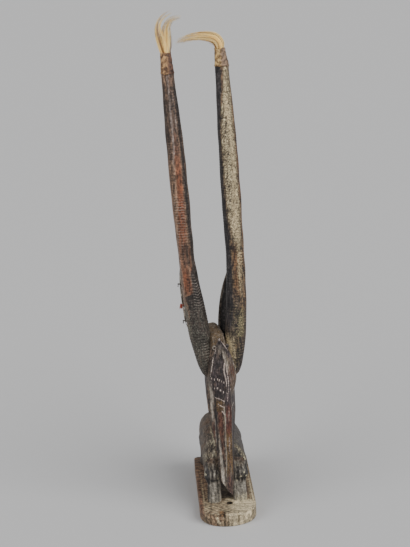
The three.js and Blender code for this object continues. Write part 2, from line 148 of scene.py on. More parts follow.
def cut_and_joined(base, joined, cut):
    """The base with the first objects joined to it and then the others cut out of it. Each step's result
    becomes the base's own mesh, and all the tools go."""
    for tool, work in [*((t, "UNION") for t in joined), *((t, "DIFFERENCE") for t in cut)]:
        step = base.modifiers.new(tool.name, "BOOLEAN")
        step.operation = work
        step.solver = "MANIFOLD"
        step.material_mode = "TRANSFER"
        step.object = tool
        result = base.evaluated_get(bpy.context.evaluated_depsgraph_get())
        old, base.data = base.data, bpy.data.meshes.new_from_object(result)
        base.modifiers.clear()
        bpy.data.meshes.remove(old)
    for tool in [*joined, *cut]:
        bpy.data.meshes.remove(tool.data)
    return base


def taken_from(made, kind, field, width):
    """One field of the object's vertices, edges or faces as an array."""
    source = getattr(made.data, kind)
    values = np.empty(len(source) * width, np.float32 if field in ("co", "normal") else np.int32)
    source.foreach_get(field, values)
    return values.reshape(-1, width) if width > 1 else values


# Part marks: the join keeps one mark for each face, so that each region gets its own wear and finish.
PARTS = ("board", "trunk", "legs", "neck", "head", "eyes", "left_ear", "right_ear", "left_horn", "right_horn")
MARKS = {part: bpy.data.materials.new("mark_" + part) for part in PARTS}

# Board
BOARD_WIDTH = 98
BOARD_LENGTH = 240
BOARD_HEIGHT = 25
BOARD_EDGE = 1.4
BOARD_FRONT = 42  # reach of the rounded front end beyond the straight sides
BOARD_BACK = 18
FRONT_SHAPE = (2.1, 2.8)  # squareness of the front end's outline, at the underside and on top
TIE_HOLE = (3.3, -80, 4.6)  # x, y and radius of the hole for the tie
SPLITS = [  # x at the front edge, width, reach over the top, depth
    (-33.5, 0.9, 12, 1.8), (-22, 0.6, 8, 0.9), (-9.4, 1, 14, 2.4), (-3, 0.6, 6, 1), (15, 0.9, 12, 2.2),
    (24, 0.6, 7, 0.9), (40, 1.2, 18, 2.2), (45, 1, 14, 1.6),
]
SPLIT_LEVEL = 12  # height where the splits' lines are taken for the top and for their dirt


def board_outline(angle, inset, power, reach):
    """Outline of the board at a level: a squared half round in front, straight sides and square corners
    behind, drawn in towards the middle as reach goes from 1 to 0."""
    front = np.cos(angle) > 0
    end = np.where(front, BOARD_FRONT, BOARD_BACK)
    shape = np.where(front, power, 6)
    x = (BOARD_WIDTH / 2 - inset) * squared(np.sin(angle), shape)
    straight = np.where(front, -1, 1) * (BOARD_LENGTH / 2 - end)
    return x * reach, (straight - (end - inset) * squared(np.cos(angle), shape)) * reach


def even_angles(count):
    """Angles that stand evenly along the board's outline, and three times as close round its front end: the
    outline's length, so weighted, is summed up over many small steps."""
    fine = np.linspace(0, 2 * np.pi, 6001)
    x, y = board_outline(fine, 0, FRONT_SHAPE[1], 1)
    steps = np.hypot(np.diff(x), np.diff(y)) * (1 + 2 * (1 - ease(y[1:], -92, -70)))
    length = np.concatenate([[0], np.cumsum(steps)])
    return np.interp(np.arange(count) * length[-1] / count, length, fine)


def board_cracks(x, y, z):
    """Depth of the splits in the front end: each is a wedge that follows a wavering upright line, deepest
    at the edge, and closes over a length across the top."""
    deep = 0
    for place, width, reach, depth in SPLITS:
        line = place + 1.1 * np.sin(z * 0.35 + place) + 0.08 * (y + 118)
        closing = 1 - ease(y, -121 + reach * 0.4, -121 + reach + 12 * np.abs(place) / 49)
        deep = deep + depth * np.exp(-(((x - line) / width) ** 2)) * closing * ease(z, 1, 6)
    return deep


def growth_lines(x, y, z):
    """-1 to 1 across the growth rings that show on top of the board as wavering lines round its front."""
    ring = 1.05 * (y + 0.005 * (x - 12) ** 2)
    return np.sin(ring + 1.1 * uneven(x, y, z, 50, 5) + 0.35 * uneven(x * 0.6, y, z, 14, 6))


def board():
    """The board's skin: out along the underside, up the sides and in over the top. Sides and top are worn
    uneven, the front end is split and weathered into raised grain, and its upper edge is chipped."""
    top, edge = BOARD_HEIGHT, BOARD_EDGE
    low, high = FRONT_SHAPE
    rise = (high - low) / (top - 2 * edge)
    path = np.array(  # height, inset, squareness, reach
        [[0, edge, 2, reach] for reach in (0.03, 0.5, 0.85, 1)]
        + [[0.5, 0.5, 2.04, 1], [edge, 0, low, 1]]
        + [[z, 0, low + rise * (z - edge), 1] for z in np.linspace(2 * edge, top - 1.8, 15)]
        + [[top - 0.9, 0.2, high, 1], [top - 0.2, 0.8, high, 1], [top, edge, high, 1]]
        + [[top, edge, high, reach] for reach in np.linspace(0.985, 0.5, 36)]
        + [[top, edge, high, reach] for reach in np.linspace(0.47, 0.02, 14)]
    )
    z, inset, power, reach = (column[:, None] for column in path.T)
    angle = even_angles(220)[None, :]
    x, y = board_outline(angle, inset, power, reach)
    z = z + 0 * x
    level = z.copy()
    front = 1 - ease(y, -88, -40)
    side = ease(reach, 0.93, 1)
    grain = growth_lines(x, y, 0 * z)
    sunk = 0.35 + 0.3 * uneven(x, y, z, 34, 1) + 0.45 * front * (grain * 0.5 + 0.5)
    z -= ease(level, top - 1, top) * sunk
    rim = ease(reach, 0.94, 1) * ease(level, 15, top)
    chip = ease(uneven(x, y, 0 * z, 15, 8), 0.25, 1.0) * rim * (0.4 + 0.6 * front)
    z -= 2.4 * chip
    worn_in = 0.35 * (1 + uneven(x, y, z, 28, 2)) * side + 1.5 * chip
    worn_in = worn_in + side * ease(level, 0.2, 2.5) * board_cracks(x, y, level)
    z -= 0.45 * board_cracks(x, y, np.full_like(z, SPLIT_LEVEL)) * ease(level, top - 1, top)
    left = 1 - worn_in / np.maximum(np.hypot(x, y), 1)
    x, y = x * left, y * left
    z = np.where(level < 0.2, 0, np.clip(z, 0, top))
    return closed_skin("board", x, y, z, MARKS["board"])


# Trunk and legs
FIGURE_X = 0.8  # the figure stands a little beside the board's middle
TRUNK_WIDTH = 77
TRUNK_TOP = 130
TRUNK_WAIST = 80  # height where the flanks are widest
TRUNK_SKEW = -13
BELLY = 76
CHEST_Y = -57
RUMP_Y = 110
TRUNK_SIZES = [
    [CHEST_Y, 0.86, 0.7], [CHEST_Y + 5, 0.97, 0.86], [CHEST_Y + 22, 1, 0.97], [20, 1, 1],
    [RUMP_Y - 26, 0.97, 0.94], [RUMP_Y - 8, 0.86, 0.78], [RUMP_Y, 0.6, 0.5],
]


def trunk():
    """The body: sections along y, each round over the back and squarer under the belly, with the back's
    ridge moved sideways behind the shoulders. Shallow knife facets run along it."""
    shoulder, haunch = CHEST_Y + 12, RUMP_Y - 16
    along = np.concatenate([
        np.full(5, CHEST_Y), np.linspace(CHEST_Y, shoulder, 9)[1:], np.linspace(shoulder, haunch, 52)[1:],
        np.linspace(haunch, RUMP_Y, 12)[1:], np.full(5, RUMP_Y),
    ])[:, None]
    caps = np.linspace(0.1, 0.92, 5)
    reach = np.concatenate([caps, np.ones(len(along) - 10), caps[::-1]])[:, None]
    angle = around(76)
    wide, high = profile(TRUNK_SIZES, along)
    up = np.cos(angle) > 0
    power = np.where(up, 1.85, 5)
    x = TRUNK_WIDTH / 2 * wide * squared(np.sin(angle), power)
    height = np.where(up, (TRUNK_TOP - TRUNK_WAIST) * high, TRUNK_WAIST - BELLY)
    z = TRUNK_WAIST + height * squared(np.cos(angle), power) * reach
    skew = TRUNK_SKEW * ease(along, CHEST_Y, 20) * np.maximum(0, np.cos(angle)) ** 1.5
    x = FIGURE_X + (x + skew) * reach
    out = 0.35 * uneven(x, along, z, 26, 11) + 0.2 * uneven(x, along, z, 9, 12)
    out = out - 0.7 * shoulder_cuts(x, along, z)
    x = x + out * np.sin(angle) * reach
    z = z + out * np.cos(angle) * reach
    return closed_skin("trunk", x, along, z, MARKS["trunk"])


def shoulder_cuts(x, y, z):
    """Short slanting knife cuts in a band over each shoulder: rows of small chevrons, from a sawtooth of
    the height bent by a zigzag along the body, kept to the front of the flanks."""
    zigzag = np.abs(((y + 0.5 * z) / 7.5) % 1 - 0.5) * 6
    cut = np.clip(1 - np.abs(((z + zigzag) / 5.2) % 1 - 0.5) * 5, 0, 1)
    shoulder = (1 - ease(y, -34, -14)) * ease(z, 84, 92) * (1 - ease(z, 122, 132))
    return cut * shoulder * ease(np.abs(x - FIGURE_X), 12, 17)


# Legs: how far out they stand, and rows of [height, y, outward, half width, half depth]
FORE_LEG = (22.5, [
    [21, -61, 0, 11.8, 14], [38, -61, 0, 11.4, 13.2], [56, -60, 0, 11, 12], [72, -59, 1.8, 13.4, 13.6],
    [88, -55, 0.2, 12.6, 11.5], [104, -46, -5, 8.6, 9],
])
HIND_LEG = (26, [
    [21, 93, 0.6, 12.4, 17], [36, 94, 0, 11.8, 15], [54, 98, -0.4, 11.4, 11.5], [66, 98, 0, 12.2, 12],
    [78, 88, 0, 12.4, 19], [98, 78, -6, 8, 16],
])


def leg(name, side, middle, sizes, seed):
    """A leg: level squared ovals from the board into the trunk, with hoof, shank, a knee that stands out
    and thigh. Narrow upright facets and a recess under the knee are cut into it."""
    z = np.linspace(sizes[0][0], sizes[-1][0], 58)[:, None]
    y0, outward, across, through = profile(sizes, z)
    angle = around(38)
    x, y = oval(FIGURE_X + side * (middle + outward), y0, across, through, angle, 3)
    knee = np.exp(-(((z - 73) / 3.4) ** 2)) - 1.1 * np.exp(-(((z - 65.5) / 2.4) ** 2))
    streak = uneven(x, y, z * 0.12, 5.5, seed)
    out = 0.45 * streak * (1 - ease(z, 70, 84)) + 0.8 * knee * (0.6 + 0.4 * np.cos(3 * angle + seed))
    out = out + 0.35 * uneven(x, y, z, 18, seed + 1)
    return closed_skin(name, x + out * np.sin(angle), y - out * np.cos(angle), z, MARKS["legs"])


NECK_SIZES = [  # height, y, half width, half depth
    [104, -8, 18, 34], [130, -4, 14.5, 30], [165, 0, 16, 27], [200, 4, 18.5, 25], [235, 6, 21, 24],
    [262, 6, 19, 20],
]


def neck():
    """The neck behind the long face: level squared ovals, with adze facets left on them."""
    z = np.linspace(NECK_SIZES[0][0], NECK_SIZES[-1][0], 40)[:, None]
    y0, across, through = profile(NECK_SIZES, z)
    angle = around(34)
    x, y = oval(FIGURE_X, y0, across, through, angle, 2.3)
    out = 0.4 * uneven(x, y, z * 0.4, 12, 31)
    return closed_skin("neck", x + out * np.sin(angle), y - out * np.cos(angle), z, MARKS["neck"])


# Head
APEX_Z = 314
APEX_Y = -45
MUZZLE_Z = 50
MUZZLE_TIP = 4
MUZZLE_Y = -105
FACE_FOOT = 58  # lowest level section
FACE_TURN = math.radians(11)
RIDGE_HEIGHT = 3.2
CROWN_FOOT = 280  # the sections bend up to the crown from here
CROWN_RISE = 11
SADDLE = 4
CROWN_Y = 15
FACE = [  # height, middle x, panel half width, keel, cheek half width, cheek set, back
    [FACE_FOOT, 2.2, 10, 11, 10.6, 4, 8], [86, 2.2, 12.6, 15, 13.4, 4, 7.5],
    [112, 1.5, 13.6, 18, 14.8, 4.5, 8], [147, 2.1, 14.8, 20, 19.4, 8, 12.5],
    [180, 3.7, 16, 20.5, 24.6, 17, 21], [210, 4.8, 17.3, 20, 25.7, 24, 38],
    [243, 5.2, 23.4, 15.5, 24.9, 28, 60], [270, 4.8, 19.4, 9, 25, 26, 66], [285, 4.2, 14, 6, 22, 24, 66],
    [300, 3, 8, 3.8, 18, 21, 64], [APEX_Z, 1.6, 0.8, 2, 13, 18, 58],
]
RIDGE = [[FACE_FOOT, 4], [90, 4.8], [150, 4.8], [205, 4.6], [240, 2.6], [290, 1.6], [APEX_Z, 0.8]]
RIDGE_BESIDE = [[FACE_FOOT, 0], [84, 0], [112, 2.3], [205, 2.3], [240, 3], [270, 2.6], [APEX_Z, 0]]

# Lines of the face, as points of (sideways, height) on the panel.
ARCH = [
    [(0.3, 314.3), (-7, 304.8), (-12.4, 289), (-16.6, 278), (-18, 270), (-21.8, 254.4), (-24.1, 244.9)],
    [(2.2, 311), (6.7, 301.1), (13.6, 289.2), (16.5, 281.8), (18.3, 273.7), (20.6, 261.1), (22, 254.4)],
]
NOSE_LINES = [
    [(1.3, 272), (-0.2, 262), (-0.5, 254.2), (0.2, 247.6), (0.9, 239.4), (0, 227.4), (0.2, 208)],
    [(4.6, 269.5), (4.2, 260), (4, 250.7), (4.9, 243.8), (3.5, 228.9), (3.4, 214)],
]
BROW_LINES = [[(-23.6, 241), (-21.7, 231), (-20.6, 220), (-17.6, 211)]]
CHEVRONS = [
    [(-15.9, 209.8), (-9.3, 208.4), (-4, 206.6)],
    [(-12.2, 199.1), (-8.2, 196.8), (-4.3, 196.5)],
    [(-7.6, 189.4), (-4.5, 184.6)],
    [(7.5, 193.8), (11, 195.4), (17, 197.6)],
]
DOTS = [  # middles of small upright dashes
    (-21.3, 244.3), (-16.8, 242.8), (-12.2, 243), (-9.2, 241.4), (-6.3, 239.9), (-3.3, 238.4),
    (-17.3, 226.3), (-12.9, 227), (-8.7, 224.2), (-4.6, 221.4), (7.8, 225.2), (16, 220.1),
]


def near_line(u, z, points, width):
    """1 on a drawn line and 0 beside it: the eased distance from (u, z) to the nearest of its pieces."""
    far = np.full(np.broadcast(u, z).shape, 1e9)
    for (u0, z0), (u1, z1) in zip(points[:-1], points[1:]):
        du, dz = u1 - u0, z1 - z0
        t = np.clip(((u - u0) * du + (z - z0) * dz) / (du * du + dz * dz), 0, 1)
        far = np.minimum(far, np.hypot(u - u0 - t * du, z - z0 - t * dz))
    return 1 - ease(far, width * 0.25, width * 0.8)


def near_lines(u, z, lines, width):
    """The strongest of several drawn lines at each point."""
    return np.max([near_line(u, z, points, width) for points in lines], axis=0)


def near_dots(u, z):
    """Small upright dashes, each a short drawn line."""
    return near_lines(u, z, [[(du, dz - 1.2), (du, dz + 1.2)] for du, dz in DOTS], 1.4)


def ridge_depth(z):
    """Depth of the nose ridge's front: from the apex down to the muzzle, slightly dished."""
    return APEX_Y + (MUZZLE_Y - APEX_Y) * np.clip((APEX_Z - z) / (APEX_Z - MUZZLE_Z), 0, 1) ** 1.25


def face_relief(u, z):
    """What the knife left on the face panel, in millimetres towards the front: raised lines, edges and
    dashes, and a fine crossed hatching on the forehead."""
    raised = 0.8 * near_lines(u, z, ARCH, 2) + 0.8 * near_lines(u, z, NOSE_LINES, 1.7)
    raised = raised + 0.7 * near_lines(u, z, CHEVRONS, 2) + 0.5 * near_lines(u, z, BROW_LINES, 2)
    raised = raised + 0.6 * near_dots(u, z)
    hatch = np.sin((u + 0.75 * z) * 1.35) * np.sin((u - 0.9 * z) * 0.8)
    forehead = ease(z, 214, 228) * (1 - ease(np.abs(u), 15, 21)) * (1 - ease(z, 292, 304))
    return raised + 0.3 * hatch * forehead


def head():
    """The long wedge of the face under the rounded skull. A level section is a line through thirteen
    corners a side, from the ridge over the panel, the groove and the cheek to the back, rounded by
    averaging it over a short stretch: tight in front, wide behind. The sections bend up to the crown, and
    the lowest ones are cut to a blunt V."""
    height = np.concatenate([np.linspace(FACE_FOOT, 270, 205), np.linspace(270, APEX_Z, 56)[1:]])
    middle, panel, keel, cheek, cheek_set, back = profile(FACE, height)
    ridge = profile(RIDGE, height)[0]
    rib = np.minimum(RIDGE_HEIGHT, keel * 0.6)
    foot = (ridge + 0.9, rib - keel)
    sideways = np.stack([
        0 * keel, ridge, foot[0], (foot[0] + panel) / 2, panel, panel - 1.1, panel + 0.4,
        (panel + cheek) / 2 + 0.4, cheek, cheek * 0.98, cheek * 0.78, cheek * 0.42, 0 * keel,
    ], -1)
    behind = np.stack([
        -keel, 0.7 - keel, foot[1], foot[1] / 2, 0 * keel, 0 * keel + 1.2, 0 * keel + 2.4,
        (2.4 + cheek_set) / 2, cheek_set, cheek_set + (back - cheek_set) * 0.45,
        cheek_set + (back - cheek_set) * 0.85, back, back,
    ], -1)
    half = np.concatenate([
        [0, 0.5, 0.86, 1, 1.14, 1.5, 1.86, 2.05], np.linspace(2.2, 3.85, 17), [3.95, 4.08, 4.5, 5, 5.5],
        [5.9, 6.1, 6.5], np.linspace(6.8, 8.6, 8), np.linspace(8.9, 12, 12),
    ])
    place = np.concatenate([half, -half[-2:0:-1]])

    def section(values, odd):
        """The corners' values along the section, averaged over the short stretch round each place, which is
        folded back at the middle of the back."""
        last = values.shape[1] - 1
        reach = 0.09 + 0.4 * ease(np.abs(place), 6.6, 8.5)
        total = 0
        for offset in np.linspace(-1, 1, 7):
            at = place + offset * reach
            at = np.where(np.abs(at) > last, np.sign(at) * (2 * last - np.abs(at)), at)
            index = np.clip(np.abs(at).astype(int), 0, last - 1)
            t = np.abs(at) - index
            value = values[:, index] * (1 - t) + values[:, index + 1] * t
            total = total + value * (np.where(at < 0, -1, 1) if odd else 1)
        return total / 7

    side, behind = section(sideways, True), section(behind, False)
    beside = profile(RIDGE_BESIDE, height[:, None])[0]
    side = side + beside * np.interp(np.abs(place), [0, 2, 3, 4], [1, 1, 0.5, 0])[None, :]
    z = height[:, None] + 0 * side
    on_panel = (1 - ease(np.abs(place), 3.9, 4.2))[None, :]
    behind = behind - face_relief(side, z) * on_panel
    cheeks = ease(np.abs(place), 6.2, 7)[None, :]
    behind = behind + cheeks * 0.5 * uneven(side, behind, z, 14, 41)
    behind = behind + (1 - cheeks) * 0.18 * uneven(side, behind, z, 8, 42)
    middle, keel = middle[:, None], keel[:, None]
    x = middle + side * math.cos(FACE_TURN) - behind * math.sin(FACE_TURN)
    y = ridge_depth(z) + keel + behind * math.cos(FACE_TURN) + side * math.sin(FACE_TURN)
    along = np.clip((y - APEX_Y) / (CROWN_Y - APEX_Y), 0, 1.4)
    top = CROWN_RISE * np.minimum(along, 1) - SADDLE * np.sin(np.pi * np.minimum(along, 1))
    top = top - 30 * np.maximum(0, along - 1)
    tip = side - MUZZLE_TIP
    vee = np.where(tip < 0, -1.2 * tip, 2.4 * tip)
    cut = vee + 0.3 * (behind + keel) - (FACE_FOOT - MUZZLE_Z)
    fade = np.maximum(0, 1 - (z - FACE_FOOT) / 34)
    lift = np.maximum(0, z - CROWN_FOOT) / (APEX_Z - CROWN_FOOT)
    z = z + lift * top + fade * cut
    reach = np.array([0.25, 0.6])[:, None]

    def with_ends(values):
        """The rows with two more at each end, drawn in towards the middle of the end row."""
        first, last = (v.mean() + (v - v.mean()) * reach for v in (values[0], values[-1]))
        return np.concatenate([first, values, last[::-1]])

    return closed_skin("head", *(with_ends(values) for values in (x, y, z)), MARKS["head"])


def face_place(x, y, z):
    """Sideways and backwards place on the head, measured along the turned face."""
    middle, _, keel = profile(FACE, z)[:3]
    dx, dy = x - middle, y - ridge_depth(z) - keel
    side = dx * math.cos(FACE_TURN) + dy * math.sin(FACE_TURN)
    return side, dy * math.cos(FACE_TURN) - dx * math.sin(FACE_TURN)


EYE_HEIGHT = 299
EYES = {"left_eye": -11.4, "right_eye": 11}  # sideways place on the face


def eye(name):
    """An eye: a raised ring round a small dome. Its height over its radius goes up, down and up again, and
    it is spun round the line that looks out of the face."""
    middle, _, keel = profile(FACE, np.array(EYE_HEIGHT))[:3]
    out = EYES[name]
    radius, rise = np.array([
        (3.5, -3), (3.4, 0.2), (3, 1.2), (2.5, 1.6), (2, 1.2), (1.7, 0.6), (1.3, 1), (0.7, 1.3), (0.2, 1.4),
    ]).T[:, :, None]
    angle = around(26)
    x = middle + out + radius * np.sin(angle)
    y = ridge_depth(EYE_HEIGHT) + keel + out * math.sin(FACE_TURN) - rise
    return closed_skin(name, x, y, EYE_HEIGHT + radius * np.cos(angle), MARKS["eyes"])


# Ears
EAR_FOOT = 282
EAR_OPEN = 310  # the leaf is whole from here up
EAR_TIP = 438
EARS = {"left_ear": (-1, 19, 29.5), "right_ear": (1, 21, 27.5)}  # side, half width, distance out
EAR_THICKNESS = 6.5
EAR_CUP = 6  # depth of the hollow
EAR_MIDDLE_X = -3.5  # middle of the pair
EAR_OPEN_Y = 8  # where the middle of a leaf lies at its opening
EAR_TILT = 0.26  # how far it goes back per millimetre of height
EAR_LEAN = 19  # how far its tip leans out


def ear_shape(side, half, out, z):
    """Middle and half width of an ear at a height: it leans out as a power of the height and narrows to
    its tip and to its foot."""
    along = np.maximum(0, (z - EAR_OPEN) / (EAR_TIP - EAR_OPEN))
    rooted = ease(z, EAR_FOOT - 7, EAR_OPEN + 25)
    x = EAR_MIDDLE_X + side * (out + EAR_LEAN * along**1.4 - 9 * (1 - rooted))
    half_width = half * (0.45 + 0.55 * rooted) * (1 - along**3.5) + 0.6
    return x, EAR_OPEN_Y + EAR_TILT * (z - EAR_OPEN), half_width


def ear_lines(across):
    """1 along the fine lines that are cut down an ear and 0 between them: the cosine of the place across."""
    return np.clip(np.cos(across * 26), 0, 1)


def ear(name):
    """A pointed leaf behind a horn: thin ovals, bent so that their middle lies behind the rims, with fine
    lines cut along the leaf on its front."""
    height = np.concatenate([np.linspace(EAR_FOOT, 400, 42), np.linspace(400, EAR_TIP, 26)[1:]])[:, None]
    x0, y0, half = ear_shape(*EARS[name], height)
    angle = around(42)
    across = np.sin(angle)
    shrink = np.minimum(1, half / EAR_THICKNESS)
    cup = EAR_CUP * (1 - across * across) * shrink
    skin = np.cos(angle) * EAR_THICKNESS / 2 * shrink
    lines = 0.3 * ear_lines(across) * ease(np.cos(angle), 0.1, 0.5) * shrink
    x = x0 + half * across
    y = y0 - skin + cup + lines
    out = 0.25 * uneven(x, y, height * 0.5, 9, 51) * shrink
    return closed_skin(name, x, y + out, height, MARKS[name])


# Horns, and the sleeves on their tips
HORN_FOOT = 236
HORN_END = 779
HORN_WAIST = 450
HORN_WAIST_X = -3.8  # middle of the pair at the waist
HORN_SPREAD = 41.4  # half the distance between the centre lines at the waist
HORN_FLARE = 0.0152  # growth of that half distance per millimetre of height
HORN_LEAN = -0.0256  # sideways lean of the pair per millimetre of height
HORN_FOOT_Y = -22.5
HORN_TILT = 0.04  # how far a horn goes back per millimetre of height
HORN_SWEEP = 0.00025  # and per millimetre of height squared
HORN_SQUARENESS = 2.2
RING_DEPTH = 0.26
RING = [[HORN_FOOT, 0], [330, 19.5], [430, 40.5], [520, 60], [640, 88.5], [HORN_END, 122]]  # height, ring
SLEEVES = {  # length, reach over the tip, lower width, upper width, sideways bend
    "left_horn": (31, 7, 22.2, 17.4, 0.2),
    "right_horn": (26.5, 9.5, 23.8, 17.2, -1.6),
}
SLEEVE_WALL = 1.3
FIT_GAP = 0.3


def horn_widths(skull, waist, swelling, upper):
    """Width of a horn at each height: skull, waist, swelling and the taper up to the sleeve."""
    return [
        [HORN_FOOT, 5], [HORN_FOOT + 10, 18], [HORN_FOOT + 26, 27], [HORN_FOOT + 54, 33.6],
        [HORN_FOOT + 92, skull], [HORN_WAIST - 60, (skull + waist) / 2], [HORN_WAIST, waist],
        [HORN_WAIST + 98, swelling], [HORN_END - 159, upper], [HORN_END - 109, upper - 2],
        [HORN_END - 67, upper - 5], [HORN_END - 24, upper - 7.9],
    ]


HORNS = {  # side, widths, pinch, bow
    "left_horn": (-1, horn_widths(37.6, 27.6, 30.6, 30), 17.1, 1.3),
    "right_horn": (1, horn_widths(36.4, 31.7, 33.5, 32), 15.3, 1.55),
}


def sleeve_ends(name):
    """Lower and upper end of a sleeve."""
    length, over = SLEEVES[name][:2]
    return HORN_END + over - length, HORN_END + over


def horn_middle(name, z):
    """Centre line of a horn: the pair leans, each foot bends in to the head, and both sweep back."""
    side, _, pinch, bow = HORNS[name]
    hem, mouth = sleeve_ends(name)
    above = z - HORN_WAIST
    bent_in = pinch * np.maximum(0, (HORN_WAIST - z) / (HORN_WAIST - HORN_FOOT)) ** bow
    rise = z - HORN_FOOT
    tip_bend = SLEEVES[name][4] * ease(z, hem - 12, mouth + 12)
    apart = HORN_SPREAD + HORN_FLARE * above - bent_in
    x = HORN_WAIST_X + HORN_LEAN * above + side * apart + tip_bend
    return x, HORN_FOOT_Y + HORN_TILT * rise + HORN_SWEEP * rise * rise


def sleeve_half(name, z):
    """Half width outside a sleeve, narrowing evenly from its hem to its mouth."""
    hem, mouth = sleeve_ends(name)
    lower, upper = SLEEVES[name][2:4]
    return (lower + (upper - lower) * (z - hem) / (mouth - hem)) / 2


def horn_half(name, z):
    """Half width of a bare horn, eased into the sleeve's lower width just under it."""
    hem = sleeve_ends(name)[0]
    width = profile(HORNS[name][1], z)[0]
    near = ease(z, hem - 58, hem)
    return (width * (1 - near) + SLEEVES[name][2] * near) / 2


def ring_number(z):
    """Number of the ring at a height, and the part of the way to the next."""
    height, ring = np.array(RING, float).T
    return np.interp(z, height, ring)


def ring_stay(name, z):
    """1 where a horn is ringed, and 0 at its foot and just under its sleeve."""
    hem = sleeve_ends(name)[0]
    return ease(z, HORN_FOOT, HORN_FOOT + 20) * (1 - ease(z, hem - 9, hem - 3))


def ring_wave(name, z, angle):
    """How far a ring's groove lies from level: a slow slope round the horn and wavering that neighbouring
    rings share."""
    seed = 61 if name == "left_horn" else 62
    slope = 0.9 * np.sin(angle + z * 0.01 + seed)
    return slope + 0.85 * uneven_round(14, angle, z * 0.16, 6.5, seed)


def ring_depth(name, ring, z, angle):
    """-1 in a groove to 1 on a crest: a cosine of the ring's number, less where handling has rubbed the
    rings down."""
    rubbed = uneven_round(14, angle, z * 0.35, 17, 63 if name == "left_horn" else 64)
    return np.cos(2 * np.pi * ring) * np.clip(0.6 + 0.4 * rubbed, 0.1, 1)


def horn_angles():
    """Angles round a horn, closer together in front than behind."""
    angle = around(42)
    return angle - 0.42 * np.sin(angle)


def horn(name):
    """A horn: level squared ovals along its centre line, ringed by fine grooves that follow the rows of
    the grid, and smooth and thinner where the sleeve covers it."""
    hem = sleeve_ends(name)[0]
    rings = np.arange(0, 130)[:, None] + np.array([0, 0.3, 0.5, 0.7])[None, :]
    height, ring = np.array(RING, float).T
    heights = np.interp(rings.ravel(), ring, height)
    bare = heights[(heights < hem - 3) & (heights > HORN_FOOT + 2)]
    heights = np.concatenate([[HORN_FOOT, HORN_FOOT + 1], bare, [hem - 1.6, hem - FIT_GAP]])
    angle = horn_angles()
    level = heights[:, None]
    stay = ring_stay(name, level)
    z = level + ring_wave(name, level, angle) * stay
    half = horn_half(name, z) + (RING_DEPTH * ring_depth(name, ring_number(level), level, angle) - 0.2) * stay
    half = half + 0.35 * uneven_round(9, angle, z * 0.3, 14, 65) * stay
    tip = np.array([hem, hem + 4, HORN_END - 6, HORN_END])[:, None]
    tip_half = sleeve_half(name, tip) - SLEEVE_WALL - FIT_GAP
    z = np.concatenate([z, tip + 0 * angle])
    half = np.concatenate([half, tip_half + 0 * angle])
    x, y = oval(*horn_middle(name, z), half, half, angle, HORN_SQUARENESS)
    return closed_skin(name, x, y, z, MARKS[name])


# Holes: one down through the board for a tie, and three in the rim of the left ear for its threads.
THREADS = {"ear_thread_upper": 393, "ear_thread_red": 358, "ear_thread_lower": 331}  # height of each
THREAD_RADIUS = 0.8
THREAD_LOOP = 2.7
THREAD_HOLE = 1.8
THREAD_SETBACK = 1.1  # the loop's middle lies this far behind the rim's edge
THREAD_INSET = 0.7  # and this far in from it


def bore(name, x, y, low, high, radius, part):
    """An upright round rod to cut a hole with."""
    z = np.array([low, high], float)[:, None]
    return closed_skin(name, *oval(x, y, radius, radius, around(28), 2), z, MARKS[part])


def ear_rim(z):
    """Outer rim of the left ear at a height."""
    x, y, half = ear_shape(*EARS["left_ear"], np.array(float(z)))
    return float(x - half), float(y)


holes = [bore("tie_hole", *TIE_HOLE[:2], -20, 60, TIE_HOLE[2], "board")]
for thread, z in THREADS.items():
    rim_x, rim_y = ear_rim(z)
    middle = rim_x + THREAD_INSET + THREAD_LOOP
    holes.append(bore("hole_" + thread, middle, rim_y, z - 12, z + 12, THREAD_HOLE, "left_ear"))

carving = cut_and_joined(
    board(),
    [
        trunk(), neck(), head(), eye("left_eye"), eye("right_eye"),
        leg("left_fore_leg", -1, *FORE_LEG, 21), leg("right_fore_leg", 1, *FORE_LEG, 23),
        leg("left_hind_leg", -1, *HIND_LEG, 25), leg("right_hind_leg", 1, *HIND_LEG, 27),
        ear("left_ear"), ear("right_ear"), horn("left_horn"), horn("right_horn"),
    ],
    holes,
)
carving.name = "carving"

# Wear, dirt and colour of the carving, among them some painted shade and painted highlights. Each is an
# amount from 0 to 1 at every point of the mesh, and the materials below turn them into colour, gloss and
# fine relief.


def band(value, low, high, soft):
    """1 between two limits and 0 outside them, eased over soft on both sides of each limit."""
    return ease(value, low - soft, low + soft) * (1 - ease(value, high - soft, high + soft))


def zone(rows, z, value, soft):
    """A band along the height whose limits and strength come from rows of [z, low, high, strength]."""
    low, high, strength = profile(rows, z)
    return strength * band(value, low, high, soft)
